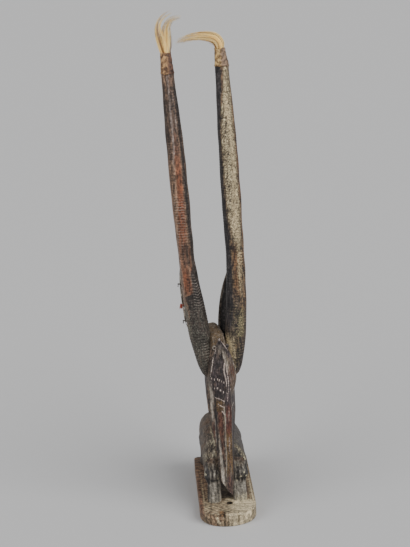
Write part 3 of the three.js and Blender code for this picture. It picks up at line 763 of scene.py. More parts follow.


# Zones of the horns: [z, low, high, strength] across the horn, from -1 at its left edge to 1 at its right.
# "line" is the crests of the rings, which show as pale wavering lines and on a strip of the left horn as
# beads, and "bright" the most rubbed places, where the pale crust stands out, lightened further as painted
# highlight.
HORN_ZONES = {
    "left_horn": {
        "rust": [
            [[240, -1, -0.6, 0], [300, -1, -0.6, 0.1], [345, -1, -0.55, 0.15], [374, -0.95, -0.5, 0.25],
             [385, -0.8, -0.2, 0.15], [392, -0.75, 0.1, 0.55], [402, -0.75, 0.12, 0.8],
             [425, -0.75, 0.05, 0.75], [436, -0.9, 0.1, 0.5], [455, -0.95, 0.15, 0.45],
             [475, -0.85, 0.2, 0.55], [490, -0.7, 0.3, 0.7], [515, -0.55, 0.3, 0.85],
             [550, -0.32, 0.36, 0.9], [580, -0.28, 0.4, 0.8], [620, -0.25, 0.42, 0.65],
             [650, -0.25, 0.4, 0.4], [690, -0.2, 0.3, 0.15], [755, -0.2, 0.4, 0.3]],
            [[415, 0.1, 0.4, 0], [428, 0.22, 0.45, 0.75], [465, 0.25, 0.5, 0.65], [480, 0.3, 0.5, 0]],
        ],
        "soot": [
            [[240, -1.2, 1.2, 0.8], [290, -1.1, 1.2, 0.8], [330, -0.8, 1.2, 0.85], [365, -0.6, 1.2, 0.9],
             [384, -0.8, 1.2, 0.9], [394, 0.12, 1.2, 0.95], [425, 0.14, 1.2, 0.9], [440, 0.5, 1.2, 0.8],
             [470, 0.5, 1.2, 0.8], [500, 0.46, 0.95, 0.85], [549, 0.46, 0.9, 0.95], [606, 0.48, 0.9, 0.9],
             [647, 0.5, 0.9, 0.86], [712, 0.5, 1.2, 0.86], [760, 0.5, 1.2, 0.6]],
            [[480, 0.8, 1.2, 0], [500, 0.8, 1.2, 0.6], [760, 0.75, 1.2, 0.5]],
            [[590, -1.2, -0.5, 0], [630, -1.2, -0.45, 0.64], [700, -1.2, -0.45, 0.7],
             [740, -1.2, -0.6, 0.5], [760, -1.1, -0.7, 0.3]],
            [[590, -0.6, 0.4, 0], [630, -0.6, 0.5, 0.46], [700, -0.6, 0.5, 0.66], [755, -0.5, 0.5, 0.56]],
            [[430, -0.3, 0.2, 0], [442, -0.55, 0.5, 0.55], [470, -0.5, 0.5, 0.55], [488, -0.3, 0.3, 0]],
            [[388, -0.3, 0.1, 0], [400, -0.4, 0.12, 0.46], [425, -0.4, 0.12, 0.36], [434, -0.4, 0.1, 0]],
        ],
        # The first pale zone, a streak down the front, and the last, along the left edge, are painted
        # highlights.
        "pale": [
            [[480, -0.7, -0.5, 0], [549, -0.6, -0.42, 0.3], [606, -0.5, -0.32, 0.5],
             [640, -0.3, -0.05, 0.78], [700, -0.28, -0.02, 0.72], [730, -0.3, 0.05, 0.42],
             [760, -0.3, 0.3, 0.4]],
            [[650, 0.25, 0.45, 0], [662, 0.25, 0.48, 0.55], [705, 0.25, 0.48, 0.5], [745, 0.25, 0.45, 0.1]],
            [[350, -1.1, -0.8, 0.1], [400, -1.1, -0.78, 0.5], [425, -1.1, -0.76, 0.6],
             [470, -1.1, -0.76, 0.45], [520, -1.1, -0.8, 0.36], [560, -1.1, -0.8, 0.25],
             [640, -1.1, -0.85, 0.1]],
        ],
        "ochre": [
            [[240, -1.2, 1.2, 0.44], [290, -1.2, 1.2, 0.5], [330, -1.2, 1.1, 0.4], [375, -0.7, 0.6, 0.3],
             [386, -0.4, 0.4, 0.2], [400, 0, 0.2, 0]],
            [[290, -1.1, -0.6, 0], [325, -1.1, -0.6, 0.8], [372, -1.1, -0.65, 0.7], [385, -1, -0.7, 0]],
        ],
        "line": [
            [[240, -1, 1, 0.42], [285, -1, 1, 0.52], [310, -0.7, 1, 0.6], [345, -0.4, 1, 0.66],
             [380, 0, 1, 0.66], [420, 0.15, 1, 0.62], [440, 0.5, 1, 0.35], [520, 0.5, 0.9, 0.3],
             [600, 0.55, 0.9, 0.2], [700, 0.6, 0.9, 0.1]],
            [[430, -1, 0.3, 0.2], [465, -0.95, 0.4, 0.4], [490, -0.9, 0.45, 0.56], [535, -0.85, 0.45, 0.6],
             [575, -0.7, 0.4, 0.5], [600, -0.6, 0.3, 0.3], [640, -0.5, 0.3, 0]],
            [[580, -0.4, -0.22, 0], [596, -0.4, -0.22, 1], [650, -0.36, -0.18, 1], [668, -0.3, -0.18, 0]],
            [[580, 0.22, 0.4, 0], [596, 0.24, 0.42, 1], [650, 0.22, 0.4, 0.95], [668, 0.2, 0.35, 0]],
        ],
    },
    "right_horn": {
        "rust": [
            [[360, -0.3, 0.2, 0], [392, -0.3, 0.4, 0.55], [440, -0.35, 0.6, 0.6], [470, -0.4, 0.4, 0.4],
             [500, -0.5, -0.3, 0]],
            [[670, -0.4, -0.1, 0], [700, -0.42, -0.08, 0.6], [765, -0.3, 0.05, 0.6]],
            [[250, 0.7, 1.1, 0.6], [340, 0.8, 1.1, 0.5], [480, 0.75, 1.1, 0.5], [560, 0.72, 1.1, 0.65],
             [680, 0.7, 1.1, 0.6], [760, 0.8, 1.1, 0.3]],
        ],
        "soot": [
            [[300, -1.2, -0.6, 0], [320, -1.2, -0.3, 0.6], [350, -1.2, -0.2, 0.85], [392, -1.2, -0.4, 1],
             [440, -1.2, -0.46, 1], [477, -1.2, -0.5, 1], [544, -1.2, -0.7, 1], [642, -1.2, -0.72, 0.92],
             [680, -1.2, -0.62, 0.95], [707, -1.2, -0.46, 1], [740, -1.2, -0.3, 1], [763, -1.2, -0.25, 1]],
            [[470, -0.7, -0.4, 0], [520, -0.75, -0.42, 0.42], [642, -0.8, -0.4, 0.46],
             [700, -0.6, -0.3, 0.42], [730, -0.4, -0.2, 0.2]],
            [[240, -0.2, 1.2, 0.7], [280, 0, 1.2, 0.66], [310, 0.1, 1.2, 0.55], [330, 0.5, 1.2, 0.6],
             [355, 0.66, 1.2, 0.5], [385, 0.72, 1.2, 0.4], [405, 0.8, 1.2, 0.15]],
            [[298, -0.6, 0.6, 0.1], [318, -0.6, 0.65, 0.66], [360, -0.5, 0.4, 0.66], [392, -0.4, 0.1, 0.4],
             [412, -0.4, 0, 0]],
        ],
        "pale": [
            [[345, 0.2, 0.7, 0], [392, 0.1, 0.72, 0.3], [425, 0, 0.78, 0.36], [455, 0, 0.7, 0.4],
             [477, -0.3, 0.76, 0.65], [520, -0.52, 0.74, 0.85], [600, -0.62, 0.74, 0.9],
             [642, -0.62, 0.76, 0.92], [690, -0.5, 0.78, 0.92], [707, -0.34, 0.8, 0.9],
             [740, -0.1, 0.9, 0.7], [768, 0, 0.9, 0.55]],
            [[240, -1.1, 0.1, 0.5], [262, -1.1, 0, 0.8], [290, -1.1, -0.05, 0.9], [308, -1.1, -0.15, 0.7],
             [330, -1, -0.3, 0]],
        ],
        "ochre": [
            [[300, -0.1, 0.8, 0], [318, 0, 0.78, 0.62], [345, 0.05, 0.76, 0.64], [378, 0.4, 0.75, 0.1]],
            [[250, -0.6, 0.5, 0.36], [300, -0.6, 0.4, 0.34], [340, -0.5, 0.4, 0.3], [380, -0.4, 0.3, 0.16],
             [400, -0.4, 0, 0]],
        ],
        "line": [
            [[250, -1, 1, 0.3], [350, -0.8, 1, 0.3], [375, -0.1, 0.8, 0.4], [450, 0.1, 0.8, 0.5],
             [480, 0, 0.8, 0.4], [520, -0.4, 0.8, 0.3], [600, -0.4, 0.8, 0.15], [760, -0.4, 0.8, 0.1]],
        ],
        # Painted highlight: over the pale crust where it is most rubbed, and low on the left beside the head.
        "bright": [
            [[378, 0.1, 0.6, 0], [395, 0.05, 0.62, 0.36], [430, 0.05, 0.62, 0.46], [460, 0.1, 0.6, 0.42],
             [480, 0, 0.6, 0.4], [510, -0.2, 0.6, 0.44], [560, 0, 0.6, 0.46], [620, 0.15, 0.6, 0.54],
             [660, 0.1, 0.55, 0.54], [700, -0.2, 0.45, 0.5], [725, 0, 0.45, 0.48], [765, 0, 0.4, 0.4]],
            [[240, -1.2, -0.3, 0.4], [270, -1.2, -0.3, 0.78], [292, -1.2, -0.35, 0.78],
             [308, -1.1, -0.5, 0.5], [320, -1, -0.6, 0]],
        ],
    },
}
ZONE_EDGE = {"left_horn": 0.18, "right_horn": 0.27}  # how softly the zones end


def horn_marks(name, x, y, z):
    """Colour and dirt of a horn: zones across its front at each height, with dirt in the ring grooves and
    pale crests. The back is plainer and darker."""
    x0, y0 = horn_middle(name, z)
    half = np.maximum(horn_half(name, z), 1)
    across, forward = (x - x0) / half, (y0 - y) / half
    made_round = 4 / HORN_SQUARENESS
    angle = np.arctan2(squared(across, made_round), squared(forward, made_round))
    front = ease(forward, -0.55, 0.1)
    stay = ring_stay(name, z)
    level = z - ring_wave(name, z, angle) * stay
    rise = ring_depth(name, ring_number(level), level, angle) * stay
    marks = {
        kind: np.max([zone(rows, z, across, ZONE_EDGE[name]) for rows in zones], axis=0) * front
        for kind, zones in HORN_ZONES[name].items()
    }
    marks["soot"] = np.maximum(marks["soot"], 0.8 * (1 - front))
    # The bright zones, painted highlight, are laid over the crests' lines.
    marks["line"] = np.maximum(marks["line"] * ease(rise, 0.2, 0.8), marks.pop("bright", 0))
    marks["hollow"] = 0.85 * ease(-rise, 0.1, 0.7)
    return marks


# Zones of the face: [height, from, to, strength] across the panel, in millimetres from its middle.
RIDGE_LIGHT = [
    [96, 0.2, 1.2, 0], [106, 0.6, 1.7, 0.4], [117, 1, 2.1, 0.52], [142, 2, 3.1, 0.5], [152, 2, 3, 0],
]
BESIDE_RIDGE = [
    [[74, -6, -4.8, 0.4], [86, -5.7, -4.5, 0.6], [117, -3.9, -2.4, 0.66], [148, -4.3, -2.8, 0.62],
     [175, -4.2, -2.7, 0.66], [195, -5.2, -3.6, 0.75], [199, -5, -4, 0.3]],
    [[168, 1.6, 2.8, 0], [176, 1.6, 2.8, 0.45], [194, 1.6, 2.8, 0.4], [204, 2, 3, 0]],
    [[70, 2.6, 3.6, 0], [84, 2.2, 3.2, 0.55], [104, 3, 4, 0.45], [112, 3, 4, 0]],
]
NOSE_STRIP = [
    [54, -12, -6.8, 0.9], [83, -12, -7, 0.95], [102, -11.8, -7.9, 0.95], [118, -12, -8.8, 0.85],
    [132, -12.2, -9.6, 0.75], [146, -12.6, -10.6, 0.5], [158, -13, -11.4, 0],
]
RED_STRIP = [
    [100, -7, -5, 0], [112, -8.4, -5.2, 0.4], [135, -9.4, -5.6, 0.56], [160, -12, -6, 0.66],
    [186, -13, -6.5, 0.6], [198, -13, -8, 0],
]
TAN_PATCH = [
    [246, 4, 6, 0], [256, 2, 9, 0.7], [276, 0.5, 9.5, 0.95], [288, -0.5, 7.5, 0.9], [298, 0.5, 6, 0.5],
    [304, 1, 4, 0],
]
GROOVE = [[104, -14.6, -12.6, 1], [143, -14.8, -12.9, 1], [170, -16, -14, 1], [212, -17.4, -15.4, 0.7]]


def face_lines(side, z):
    """The pale drawn lines and dashes of the face, the longer ones rubbed away in stretches."""
    left_arch, right_arch = (near_line(side, z, points, 1.9) for points in ARCH)
    left_nose, right_nose = (near_line(side, z, points, 1.6) for points in NOSE_LINES)
    return np.max([
        left_arch * (0.42 + 0.3 * band(z, 258, 280, 3) + 0.4 * ease(z, 288, 296)),
        right_arch * (0.45 + 0.5 * ease(z, 285, 292)),
        left_nose * (0.52 + 0.48 * ease(z, 232, 244)),
        right_nose * 0.75,
        near_dots(side, z) * 0.9,
        near_lines(side, z, BROW_LINES, 1.8) * 0.5,
        near_lines(side, z, CHEVRONS, 2) * 0.66,
        zone(RIDGE_LIGHT, z, side, 0.4),
    ], axis=0)


def head_marks(x, y, z):
    """Colour of the head: the forehead is sooty, with a tan patch under its point and an olive right side;
    the ridge is red and lower down golden, with a red strip beside it; the drawn lines, the dashes and a
    strip along the nose are pale, and the left cheek is rubbed grey. The crown is bare brown wood, darkened
    at its edges as painted shade."""
    side, behind = face_place(x, y, z)
    off_ridge, half_ridge = side - profile(RIDGE_BESIDE, z)[0], profile(RIDGE, z)[0]
    front = 1 - ease(behind, 1, 3.5)
    on_ridge = front * (1 - ease(np.abs(off_ridge), half_ridge, half_ridge + 0.9))
    core = 1 - ease(np.abs(off_ridge), 0.5, 1.6)
    left = front * ease(-off_ridge, half_ridge, half_ridge + 1)
    muzzle = 1 - ease(z, 74, 96)
    crown = ease(behind, 1.5, 4) * ease(z, 290, 299)
    shown = crown * (1 - 0.45 * ease(side, 4, 12))
    cheek = (1 - front) * ease(-side, 4, 10) * (1 - ease(behind, 18, 26))
    streak = ease(uneven(side, 0.4 * behind, 0.1 * z, 4.5, 93), -0.7, 0.8)
    gold = on_ridge * band(z, 84, 158, 9) * (1 - 0.45 * core)
    brown = left * band(z, 186, 207, 3) * band(side, -16, -6, 1.5)
    tan = front * zone(TAN_PATCH, z, side, 1.2)
    grey = front * band(z, 284, 304, 6) * band(side, -9, 1, 2)
    olive = front * band(z, 212, 280, 8) * ease(side, 5, 9)

    red = on_ridge * (band(z, 150, 216, 8) + 0.5 * core * band(z, 80, 150, 8) + 0.5 * muzzle)
    red = red + left * zone(RED_STRIP, z, side, 0.8)
    red = red + front * (0.5 * band(z, 238, 266, 8) * band(side, 7, 18, 2) + 0.35 * band(z, 214, 262, 10))
    red = red + 0.55 * cheek * band(z, 135, 172, 8) * band(behind, 3.5, 8, 1.5)

    soot = front * (0.9 * ease(z, 196, 216) + 0.95 * ease(side, 8, 11) * (1 - ease(z, 196, 214)))
    soot = soot + (1 - front) * (0.8 - 0.5 * cheek - 0.2 * ease(side, 4, 12))
    soot = soot + 0.7 * left * band(z, 110, 200, 8) * band(side, -18, -13.2, 1)
    on_nose = 0.15 * band(z, 150, 212, 8) + 0.2 * ease(z, 184, 204) + 0.25 * (1 - core) + 0.3 * muzzle
    # The last term is painted shade: it darkens the crown towards its edges.
    soot = soot + on_ridge * on_nose + 0.3 * shown * ease(np.abs(side + 3), 6, 12)
    soot = soot - 0.3 * front * band(z, 214, 290, 12) * ease(uneven(side, 0, z, 11, 94), 0, 1)
    soot = soot - 0.7 * tan - 0.35 * grey - 0.42 * olive

    beside = np.max([zone(rows, z, side, 0.5) for rows in BESIDE_RIDGE], axis=0)
    pale = np.max([
        (0.9 + 0.15 * streak) * zone(NOSE_STRIP, z, side, 0.5) * front,
        (0.3 + 0.5 * streak) * cheek * band(z, 165, 240, 12) * band(behind, 3, 13, 2),
        0.8 * cheek * band(z, 128, 176, 8) * band(behind, 1.8, 3.6, 0.8),
        0.5 * crown * band(side, 7, 13, 2) * streak,
        0.56 * tan, 0.35 * grey, beside * front, 0.34 * shown, 0.3 * olive,
    ], axis=0)
    groove = front * band(z, 104, 212, 8) * zone(GROOVE, z, side, 0.5)
    return {
        "rust": np.clip(red, 0, 1) * (1 - 0.8 * grey), "soot": soot * (1 - shown), "pale": pale,
        "ochre": 0.7 * gold + 0.62 * brown + 0.72 * shown + 0.3 * tan + 0.3 * olive,
        # The crown term of the hollow is painted shade along the crown's left edge.
        "line": face_lines(side, z) * front, "hollow": groove + 0.5 * crown * ease(side, -9, -14),
    }


KNOB_HIGHLIGHTS = [  # x and height of the painted highlights on the knobs at the knees
    (-35.6, 75.8), (-21.5, 70), (-14, 68), (26.3, 69.4), (31.5, 77.5), (34.5, 70.5), (17.4, 61.8), (21, 88),
]


def knob_highlights(x, y, z):
    """1 at the painted highlights on the knobs at the front of the knees."""
    knobs = [1 - ease(np.hypot(x - knob_x, z - knob_z), 0.9, 2.3) for knob_x, knob_z in KNOB_HIGHLIGHTS]
    return np.max(knobs, axis=0) * (1 - ease(y, -60, -50))


def trunk_marks(x, y, z):
    """Colour of the trunk: smoky brown flanks, redder at the left, with pale scribbled cuts on the shoulders
    and a rubbed edge beside the back's ridge."""
    left = 1 - ease(x, -8, 6)
    patches = ease(uneven(x, y, z, 24, 91), -0.4, 0.8)
    shoulder = (1 - ease(y, -30, -6)) * ease(z, 80, 90) * (1 - ease(z, 126, 138)) * ease(np.abs(x), 10, 16)
    scribbles = ease(uneven(x * 1.6, y, z * 0.7, 4.5, 95), 0.3, 0.9) * shoulder
    cuts = np.maximum(shoulder_cuts(x, y, z), 0.6 * scribbles)
    edge = band(x + 0.072 * (y - 25), -22.5, -19, 0.9) * band(y, -50, 20, 8) * ease(z, 112, 118)
    # The knob marks are painted highlights, where the knee knobs reach the trunk.
    lines = [0.85 * cuts * (0.6 + 0.4 * patches), knob_highlights(x, y, z), 0.55 * edge]
    return {
        "rust": (0.35 + 0.25 * left) * patches, "soot": 0.66 - 0.34 * left,
        "pale": (0.3 + 0.2 * left) * shoulder * patches, "ochre": (0.2 + 0.36 * shoulder) * patches,
        "line": np.max(lines, axis=0), "hollow": 0.5 * (1 - cuts) * shoulder,
    }


def leg_marks(x, y, z):
    """Colour of the legs: pale streaked shanks, brightest at the right foot, and dark knees with painted
    highlights on their small knobs and painted shadow in the recess under them."""
    front = 1 - ease(y, -66, -52)
    outer = ease(np.abs(x - FIGURE_X), 29, 33)
    streak = ease(uneven(x, y * 0.3, z * 0.06, 5, 92), -0.5, 0.7)
    shank = (1 - ease(z, 52, 66)) * (1 - 0.8 * outer)
    worn = ease(uneven(x, y, z * 0.8, 6, 96), -0.1, 0.8) * band(z, 58, 100, 6)
    foot = front * (1 - ease(z, 30, 46)) * ease(x, 0, 30) * (0.36 + 0.4 * streak)
    pale = shank * (0.8 + 0.4 * streak) * (0.45 + 0.55 * front) + 0.46 * front * (1 - shank) * streak
    return {
        "rust": 0.3 * (1 - front) + 0.3 * ease(z, 78, 94),
        "soot": 0.3 + 0.36 * ease(z, 54, 66) - 0.3 * ease(z, 82, 94) - 0.2 * worn + 0.35 * outer,
        "pale": pale + 0.35 * (1 - ease(z, 25, 42)) * front + 0.3 * worn * front,
        # The knob marks are painted highlights.
        "ochre": 0.4 * front * ease(z, 78, 92), "line": np.maximum(knob_highlights(x, y, z), foot),
        # The band at the height of 65.5 is painted shadow in the recess under the knee.
        "hollow": 0.6 * np.exp(-(((z - 65.5) / 2.6) ** 2)) + 0.6 * front * (1 - streak),
    }


def neck_marks(x, y, z):
    """The neck is sooty all over."""
    return {"soot": 0.85}


def board_marks(x, y, z):
    """Colour of the board: brown and reddish along the sides, bleached and weathered at the front end and
    lightest at its right, partly pale crust and partly painted light, with dirt in the splits, the tie hole
    and its rim painted dark as shade, and growth lines round the front of the top. Under the belly the top is
    painted black as a painted shadow."""
    front = 1 - ease(y + 0.25 * x, -84, -44)
    end = 1 - ease(y, -112, -100)
    wall = 1 - ease(z, 22, 23.6)
    left_rim = 1 - ease(x, -46, -40)
    split = np.clip(board_cracks(x, y, np.full_like(z, SPLIT_LEVEL)) / 0.9, 0, 1) * (0.4 + 0.6 * end)
    hole_x, hole_y, hole_radius = TIE_HOLE
    # Painted shade: the tie hole and a thin ring round its mouth are painted dark.
    tie = 1 - ease(np.hypot(x - hole_x, y - hole_y), hole_radius + 0.3, hole_radius + 1.4)
    mound = band(np.abs(x - hole_x), -1, 7, 2) * band(y, -73, -62, 3)
    growth = growth_lines(x, y, 0 * z) * (1 - wall)
    crest = (1 - ease(y, -108, -100)) * band(x, -2, 38, 3) * band(z, 19.5, 23.6, 1)
    splash = end * wall * band(x + 0.35 * z, -19, -13, 1.5) * band(z, 4, 19, 2)
    # Painted light: the right of the top, past the hole, is made lighter.
    lit = (1 - wall) * ease(x, 5, 15) * band(y, -110, -69, 6) * (0.56 + 0.34 * growth)
    spot = (1 - ease(y, -112, -106)) * band(x, -17, -9, 2) * ease(z, 19, 21.5)
    # The right of the board is lighter: partly pale crust, partly painted light.
    bright = 0.34 * ease(x, 0, 14)
    chipped = ease(x, 38, 42) * (1 - ease(y, -96, -84))
    # Painted shadow: the top under the belly is painted black.
    painted_shadow_under_belly = band(x, -13, 15, 4) * band(y, -60, 60, 4)
    pale = (0.66 + bright + 0.24 * growth) * front * (1 - 0.7 * left_rim) - 0.4 * chipped - 0.6 * spot
    pale = pale + 0.3 * mound + 0.25 * (1 - front) - (0.14 + 0.24 * end * wall) * (1 - ease(x, -14, 2))
    dark = 0.6 * ease(x, 20, 44) * (1 - front) + 0.3 * ease(y, 0, 50) + 0.45 * chipped
    return {
        "rust": 0.55 * left_rim * (1 - ease(y, -76, -64)) * ease(z, 6, 22) + 0.35 * (1 - front),
        "soot": dark + 1.2 * tie + 1.4 * painted_shadow_under_belly, "pale": np.clip(pale, 0, 1) * (1 - tie),
        "ochre": 0.45 * ease(x, 36, 42) * (1 - front) + 0.8 * spot,
        "line": np.max([0.62 * crest, 0.6 * splash, lit], axis=0),
        "hollow": split + 1.5 * tie + front * (0.8 - bright) * ease(-growth, 0.3, 0.85),
    }


def ear_marks(name, x, y, z):
    """An ear is sooty, brown and rubbed along its rims, with dirt in its fine lines."""
    x0, _, half = ear_shape(*EARS[name], z)
    across = np.clip((x - x0) / half, -1, 1)
    rim = ease(np.abs(across), 0.72, 0.86) * (1 if name == "left_ear" else 0.6)
    return {
        "rust": 0.6 * rim, "soot": 0.9 - 0.85 * rim, "pale": 0.55 * rim,
        "hollow": 0.5 * ear_lines(across) * (1 - rim),
    }


def eye_marks(x, y, z):
    """The left eye has a dull pinkish ring and a reddish middle; the right one is worn and dark."""
    side, _ = face_place(x, y, np.full_like(z, EYE_HEIGHT))
    left = side < 0
    ring = np.hypot(side - np.where(left, *EYES.values()), z - EYE_HEIGHT)
    return {
        "rust": 0.9 * (ring < 1.4) * left, "pale": 0.75 * band(ring, 1.7, 3.4, 0.3) * left,
        "soot": 0.5 + 0.4 * ~left, "hollow": band(ring, 1.3, 1.8, 0.3),
    }


def part_marks(part, x, y, z):
    """The amounts at points of one part of the carving."""
    if part in HORNS:
        return horn_marks(part, x, y, z)
    if part in EARS:
        return ear_marks(part, x, y, z)
    plain = {
        "board": board_marks, "trunk": trunk_marks, "legs": leg_marks, "neck": neck_marks, "head": head_marks,
        "eyes": eye_marks,
    }
    return plain[part](x, y, z)


KINDS = ("rust", "soot", "pale", "ochre", "line", "hollow", "worn")
vertex_place = taken_from(carving, "vertices", "co", 3).astype(float) / MM
edges = taken_from(carving, "edges", "vertices", 2)
corner_vertex = taken_from(carving, "loops", "vertex_index", 1)
face_size = taken_from(carving, "polygons", "loop_total", 1)
slot_part = np.array([PARTS.index(mark.name.removeprefix("mark_")) for mark in carving.data.materials])
face_part = slot_part[taken_from(carving, "polygons", "material_index", 1)]
vertex_part = np.zeros(len(vertex_place), int)
vertex_part[corner_vertex] = np.repeat(face_part, face_size)
amounts = {kind: np.zeros(len(vertex_place)) for kind in KINDS}
for index, part in enumerate(PARTS):
    chosen = vertex_part == index
    for kind, amount in part_marks(part, *vertex_place[chosen].T).items():
        amounts[kind][chosen] = amount


def bend_of_surface():
    """How far each point stands out of its neighbours, in millimetres for each millimetre between them:
    the mean over its edges of the way to the neighbour along the normal, over that edge's length, smoothed
    once. It is negative in a recess."""
    normal = taken_from(carving, "vertices", "normal", 3).astype(float)
    step = vertex_place[edges[:, 1]] - vertex_place[edges[:, 0]]
    length = np.maximum(np.linalg.norm(step, axis=1), 0.05)
    rise, count = np.zeros((2, len(normal)))
    for end, sign in ((0, -1), (1, 1)):
        drop = sign * np.einsum("ij,ij->i", step, normal[edges[:, end]]) / length
        np.add.at(rise, edges[:, end], drop)
        np.add.at(count, edges[:, end], 1)
    mean = rise / np.maximum(count, 1)
    total, weight = mean.copy(), np.ones(len(normal))
    for here, there in ((0, 1), (1, 0)):
        np.add.at(total, edges[:, here], mean[edges[:, there]])
        np.add.at(weight, edges[:, here], 1)
    return total / weight


bend = bend_of_surface()
amounts["worn"] = ease(bend, 0.05, 0.3)
amounts["hollow"] = np.maximum(amounts["hollow"], 0.9 * ease(-bend, 0.06, 0.3))
for kind, amount in amounts.items():
    layer = carving.data.attributes.new(kind, "FLOAT", "POINT")
    layer.data.foreach_set("value", np.clip(amount, 0, 1).astype(np.float32))


class Amount:
    """The output of a shader node. A sum, difference or product of outputs and numbers is written as such
    and becomes a Math node of the same tree."""

    def __init__(self, socket):
        self.socket = socket
        self.tree = socket.id_data

    def combined(self, work, first, second):
        return put(self.tree, "Math", {0: first, 1: second}, 0, operation=work)

    def __add__(self, other):
        return self.combined("ADD", self, other)

    def __sub__(self, other):
        return self.combined("SUBTRACT", self, other)

    def __rsub__(self, other):
        return self.combined("SUBTRACT", other, self)

    def __mul__(self, other):
        return self.combined("MULTIPLY", self, other)


def feed(node, sockets):
    """Gives a node's inputs their values, or links them to outputs."""
    for name, value in sockets.items():
        if isinstance(value, Amount):
            node.id_data.links.new(value.socket, node.inputs[name])
        else:
            node.inputs[name].default_value = value


def put(tree, kind, sockets, output, **settings):
    """Adds a node with its settings and inputs, and gives one of its outputs."""
    made = tree.nodes.new("ShaderNode" + kind)
    for name, value in settings.items():
        setattr(made, name, value)
    feed(made, sockets)
    return Amount(made.outputs[output])


def blend(amount, under, over, kind="MIX"):
    """A colour over another by an amount."""
    tree = next(value.tree for value in (amount, under, over) if isinstance(value, Amount))
    return put(tree, "Mix", {0: amount, 6: under, 7: over}, 2, data_type="RGBA", blend_type=kind)


def spread(value, low, high, start=0.0, end=1.0):
    """A value eased from start at low to end at high."""
    sockets = {"Value": value, "From Min": low, "From Max": high, "To Min": start, "To Max": end}
    return put(value.tree, "MapRange", sockets, 0, interpolation_type="SMOOTHSTEP")


def noise(place, scale, detail=3.0, rough=0.5, twist=0.0):
    """Cloudy noise from about 0.25 to 0.75 over a place."""
    sockets = {"Vector": place, "Scale": scale, "Detail": detail, "Roughness": rough, "Distortion": twist}
    return put(place.tree, "TexNoise", sockets, 0)


def stretched(place, stretch):
    """A place drawn out or pressed together along each axis."""
    return put(place.tree, "VectorMath", {0: place, 1: stretch}, 0, operation="MULTIPLY")


def bump(height, strength, distance):
    """A normal tipped by a height, with the relief's depth in metres."""
    return put(height.tree, "Bump", {"Height": height, "Strength": strength, "Distance": distance}, 0)


def colour(*channels):
    """A colour given as 0 to 255 in a picture, as the linear values that a shader takes."""
    return (*(((v / 255 + 0.055) / 1.055) ** 2.4 if v > 10 else v / 255 / 12.92 for v in channels), 1)


def shaded(tint, factor):
    """A colour lighter or darker by a factor."""
    return tuple(min(255, v * factor) for v in tint)


def tones(amount, *steps):
    """A colour that goes through several, evenly spaced, as the amount goes from 0 to 1."""
    made = colour(*steps[0])
    count = len(steps) - 1
    for index, step in enumerate(steps[1:]):
        made = blend(spread(amount, index / count, (index + 1) / count), made, colour(*step))
    return made


def shades(amount, tint, *factors):
    """A colour that goes through several shades of one tint as the amount goes from 0 to 1."""
    return tones(amount, *(shaded(tint, factor) for factor in factors))


def effect(name, takes, gives):
    """A new shader node group with named inputs and outputs: its inputs as amounts, and its output node."""
    tree = bpy.data.node_groups.new(name, "ShaderNodeTree")
    for socket, value in takes.items():
        kind = "NodeSocketVector" if socket in ("Vector", "Stretch") else "NodeSocketFloat"
        made = tree.interface.new_socket(socket, in_out="INPUT", socket_type=kind)
        if value is not None:
            made.default_value = value
    for socket in gives:
        tree.interface.new_socket(socket, in_out="OUTPUT", socket_type="NodeSocketFloat")
    sources = tree.nodes.new("NodeGroupInput").outputs
    return [Amount(sources[socket]) for socket in takes], tree.nodes.new("NodeGroupOutput")


def wood_grain():
    """Grain: long streaks and short dark pores along the wood, from noises stretched along it."""
    takes = {"Vector": None, "Stretch": (1, 1, 0.1), "Scale": 300.0}
    (place, stretch, scale), out = effect("wood_grain", takes, ("Streaks", "Pores"))
    drawn = stretched(place, stretch)
    streaks = noise(drawn, scale, 5.0, 0.62, 0.4)
    fine = noise(drawn, scale * 4.3, 2.0)
    feed(out, {"Streaks": spread(streaks, 0.34, 0.66), "Pores": spread(fine, 0.3, 0.44, 1.0, 0.0)})
    return out.id_data


def broken_edge():
    """A painted or rubbed area with a broken edge: noise is added to its amount before it is cut off."""
    takes = {"Amount": 0.0, "Vector": None, "Scale": 300.0, "Break": 0.8, "Soft": 0.16}
    (amount, place, scale, breaking, soft), out = effect("broken_edge", takes, ("Cover",))
    shift = (noise(place, scale, 6.0, 0.68) - 0.5) * breaking
    broken = (amount + shift) * spread(amount, 0.0, 0.12)
    feed(out, {"Cover": spread(broken, 0.5 - soft, soft + 0.5)})
    return out.id_data


def dirt_shade_and_rub():
    """Recess darkening, which is dirt and in places painted shade, and rubbing on the edges, both thinned in
    patches by noise.
    """
    takes = {"Hollow": 0.0, "Worn": 0.0, "Vector": None}
    (hollow, worn, place), out = effect("dirt_shade_and_rub", takes, ("DirtAndShade", "Rub"))
    patch = noise(place, 120.0, 4.0, 0.6)
    fine = noise(place, 700.0, 2.0)
    feed(out, {
        "DirtAndShade": hollow * spread(patch, 0.25, 0.6, 0.45, 1.0),
        "Rub": worn * spread(fine, 0.35, 0.62, 0.2, 1.0),
    })
    return out.id_data


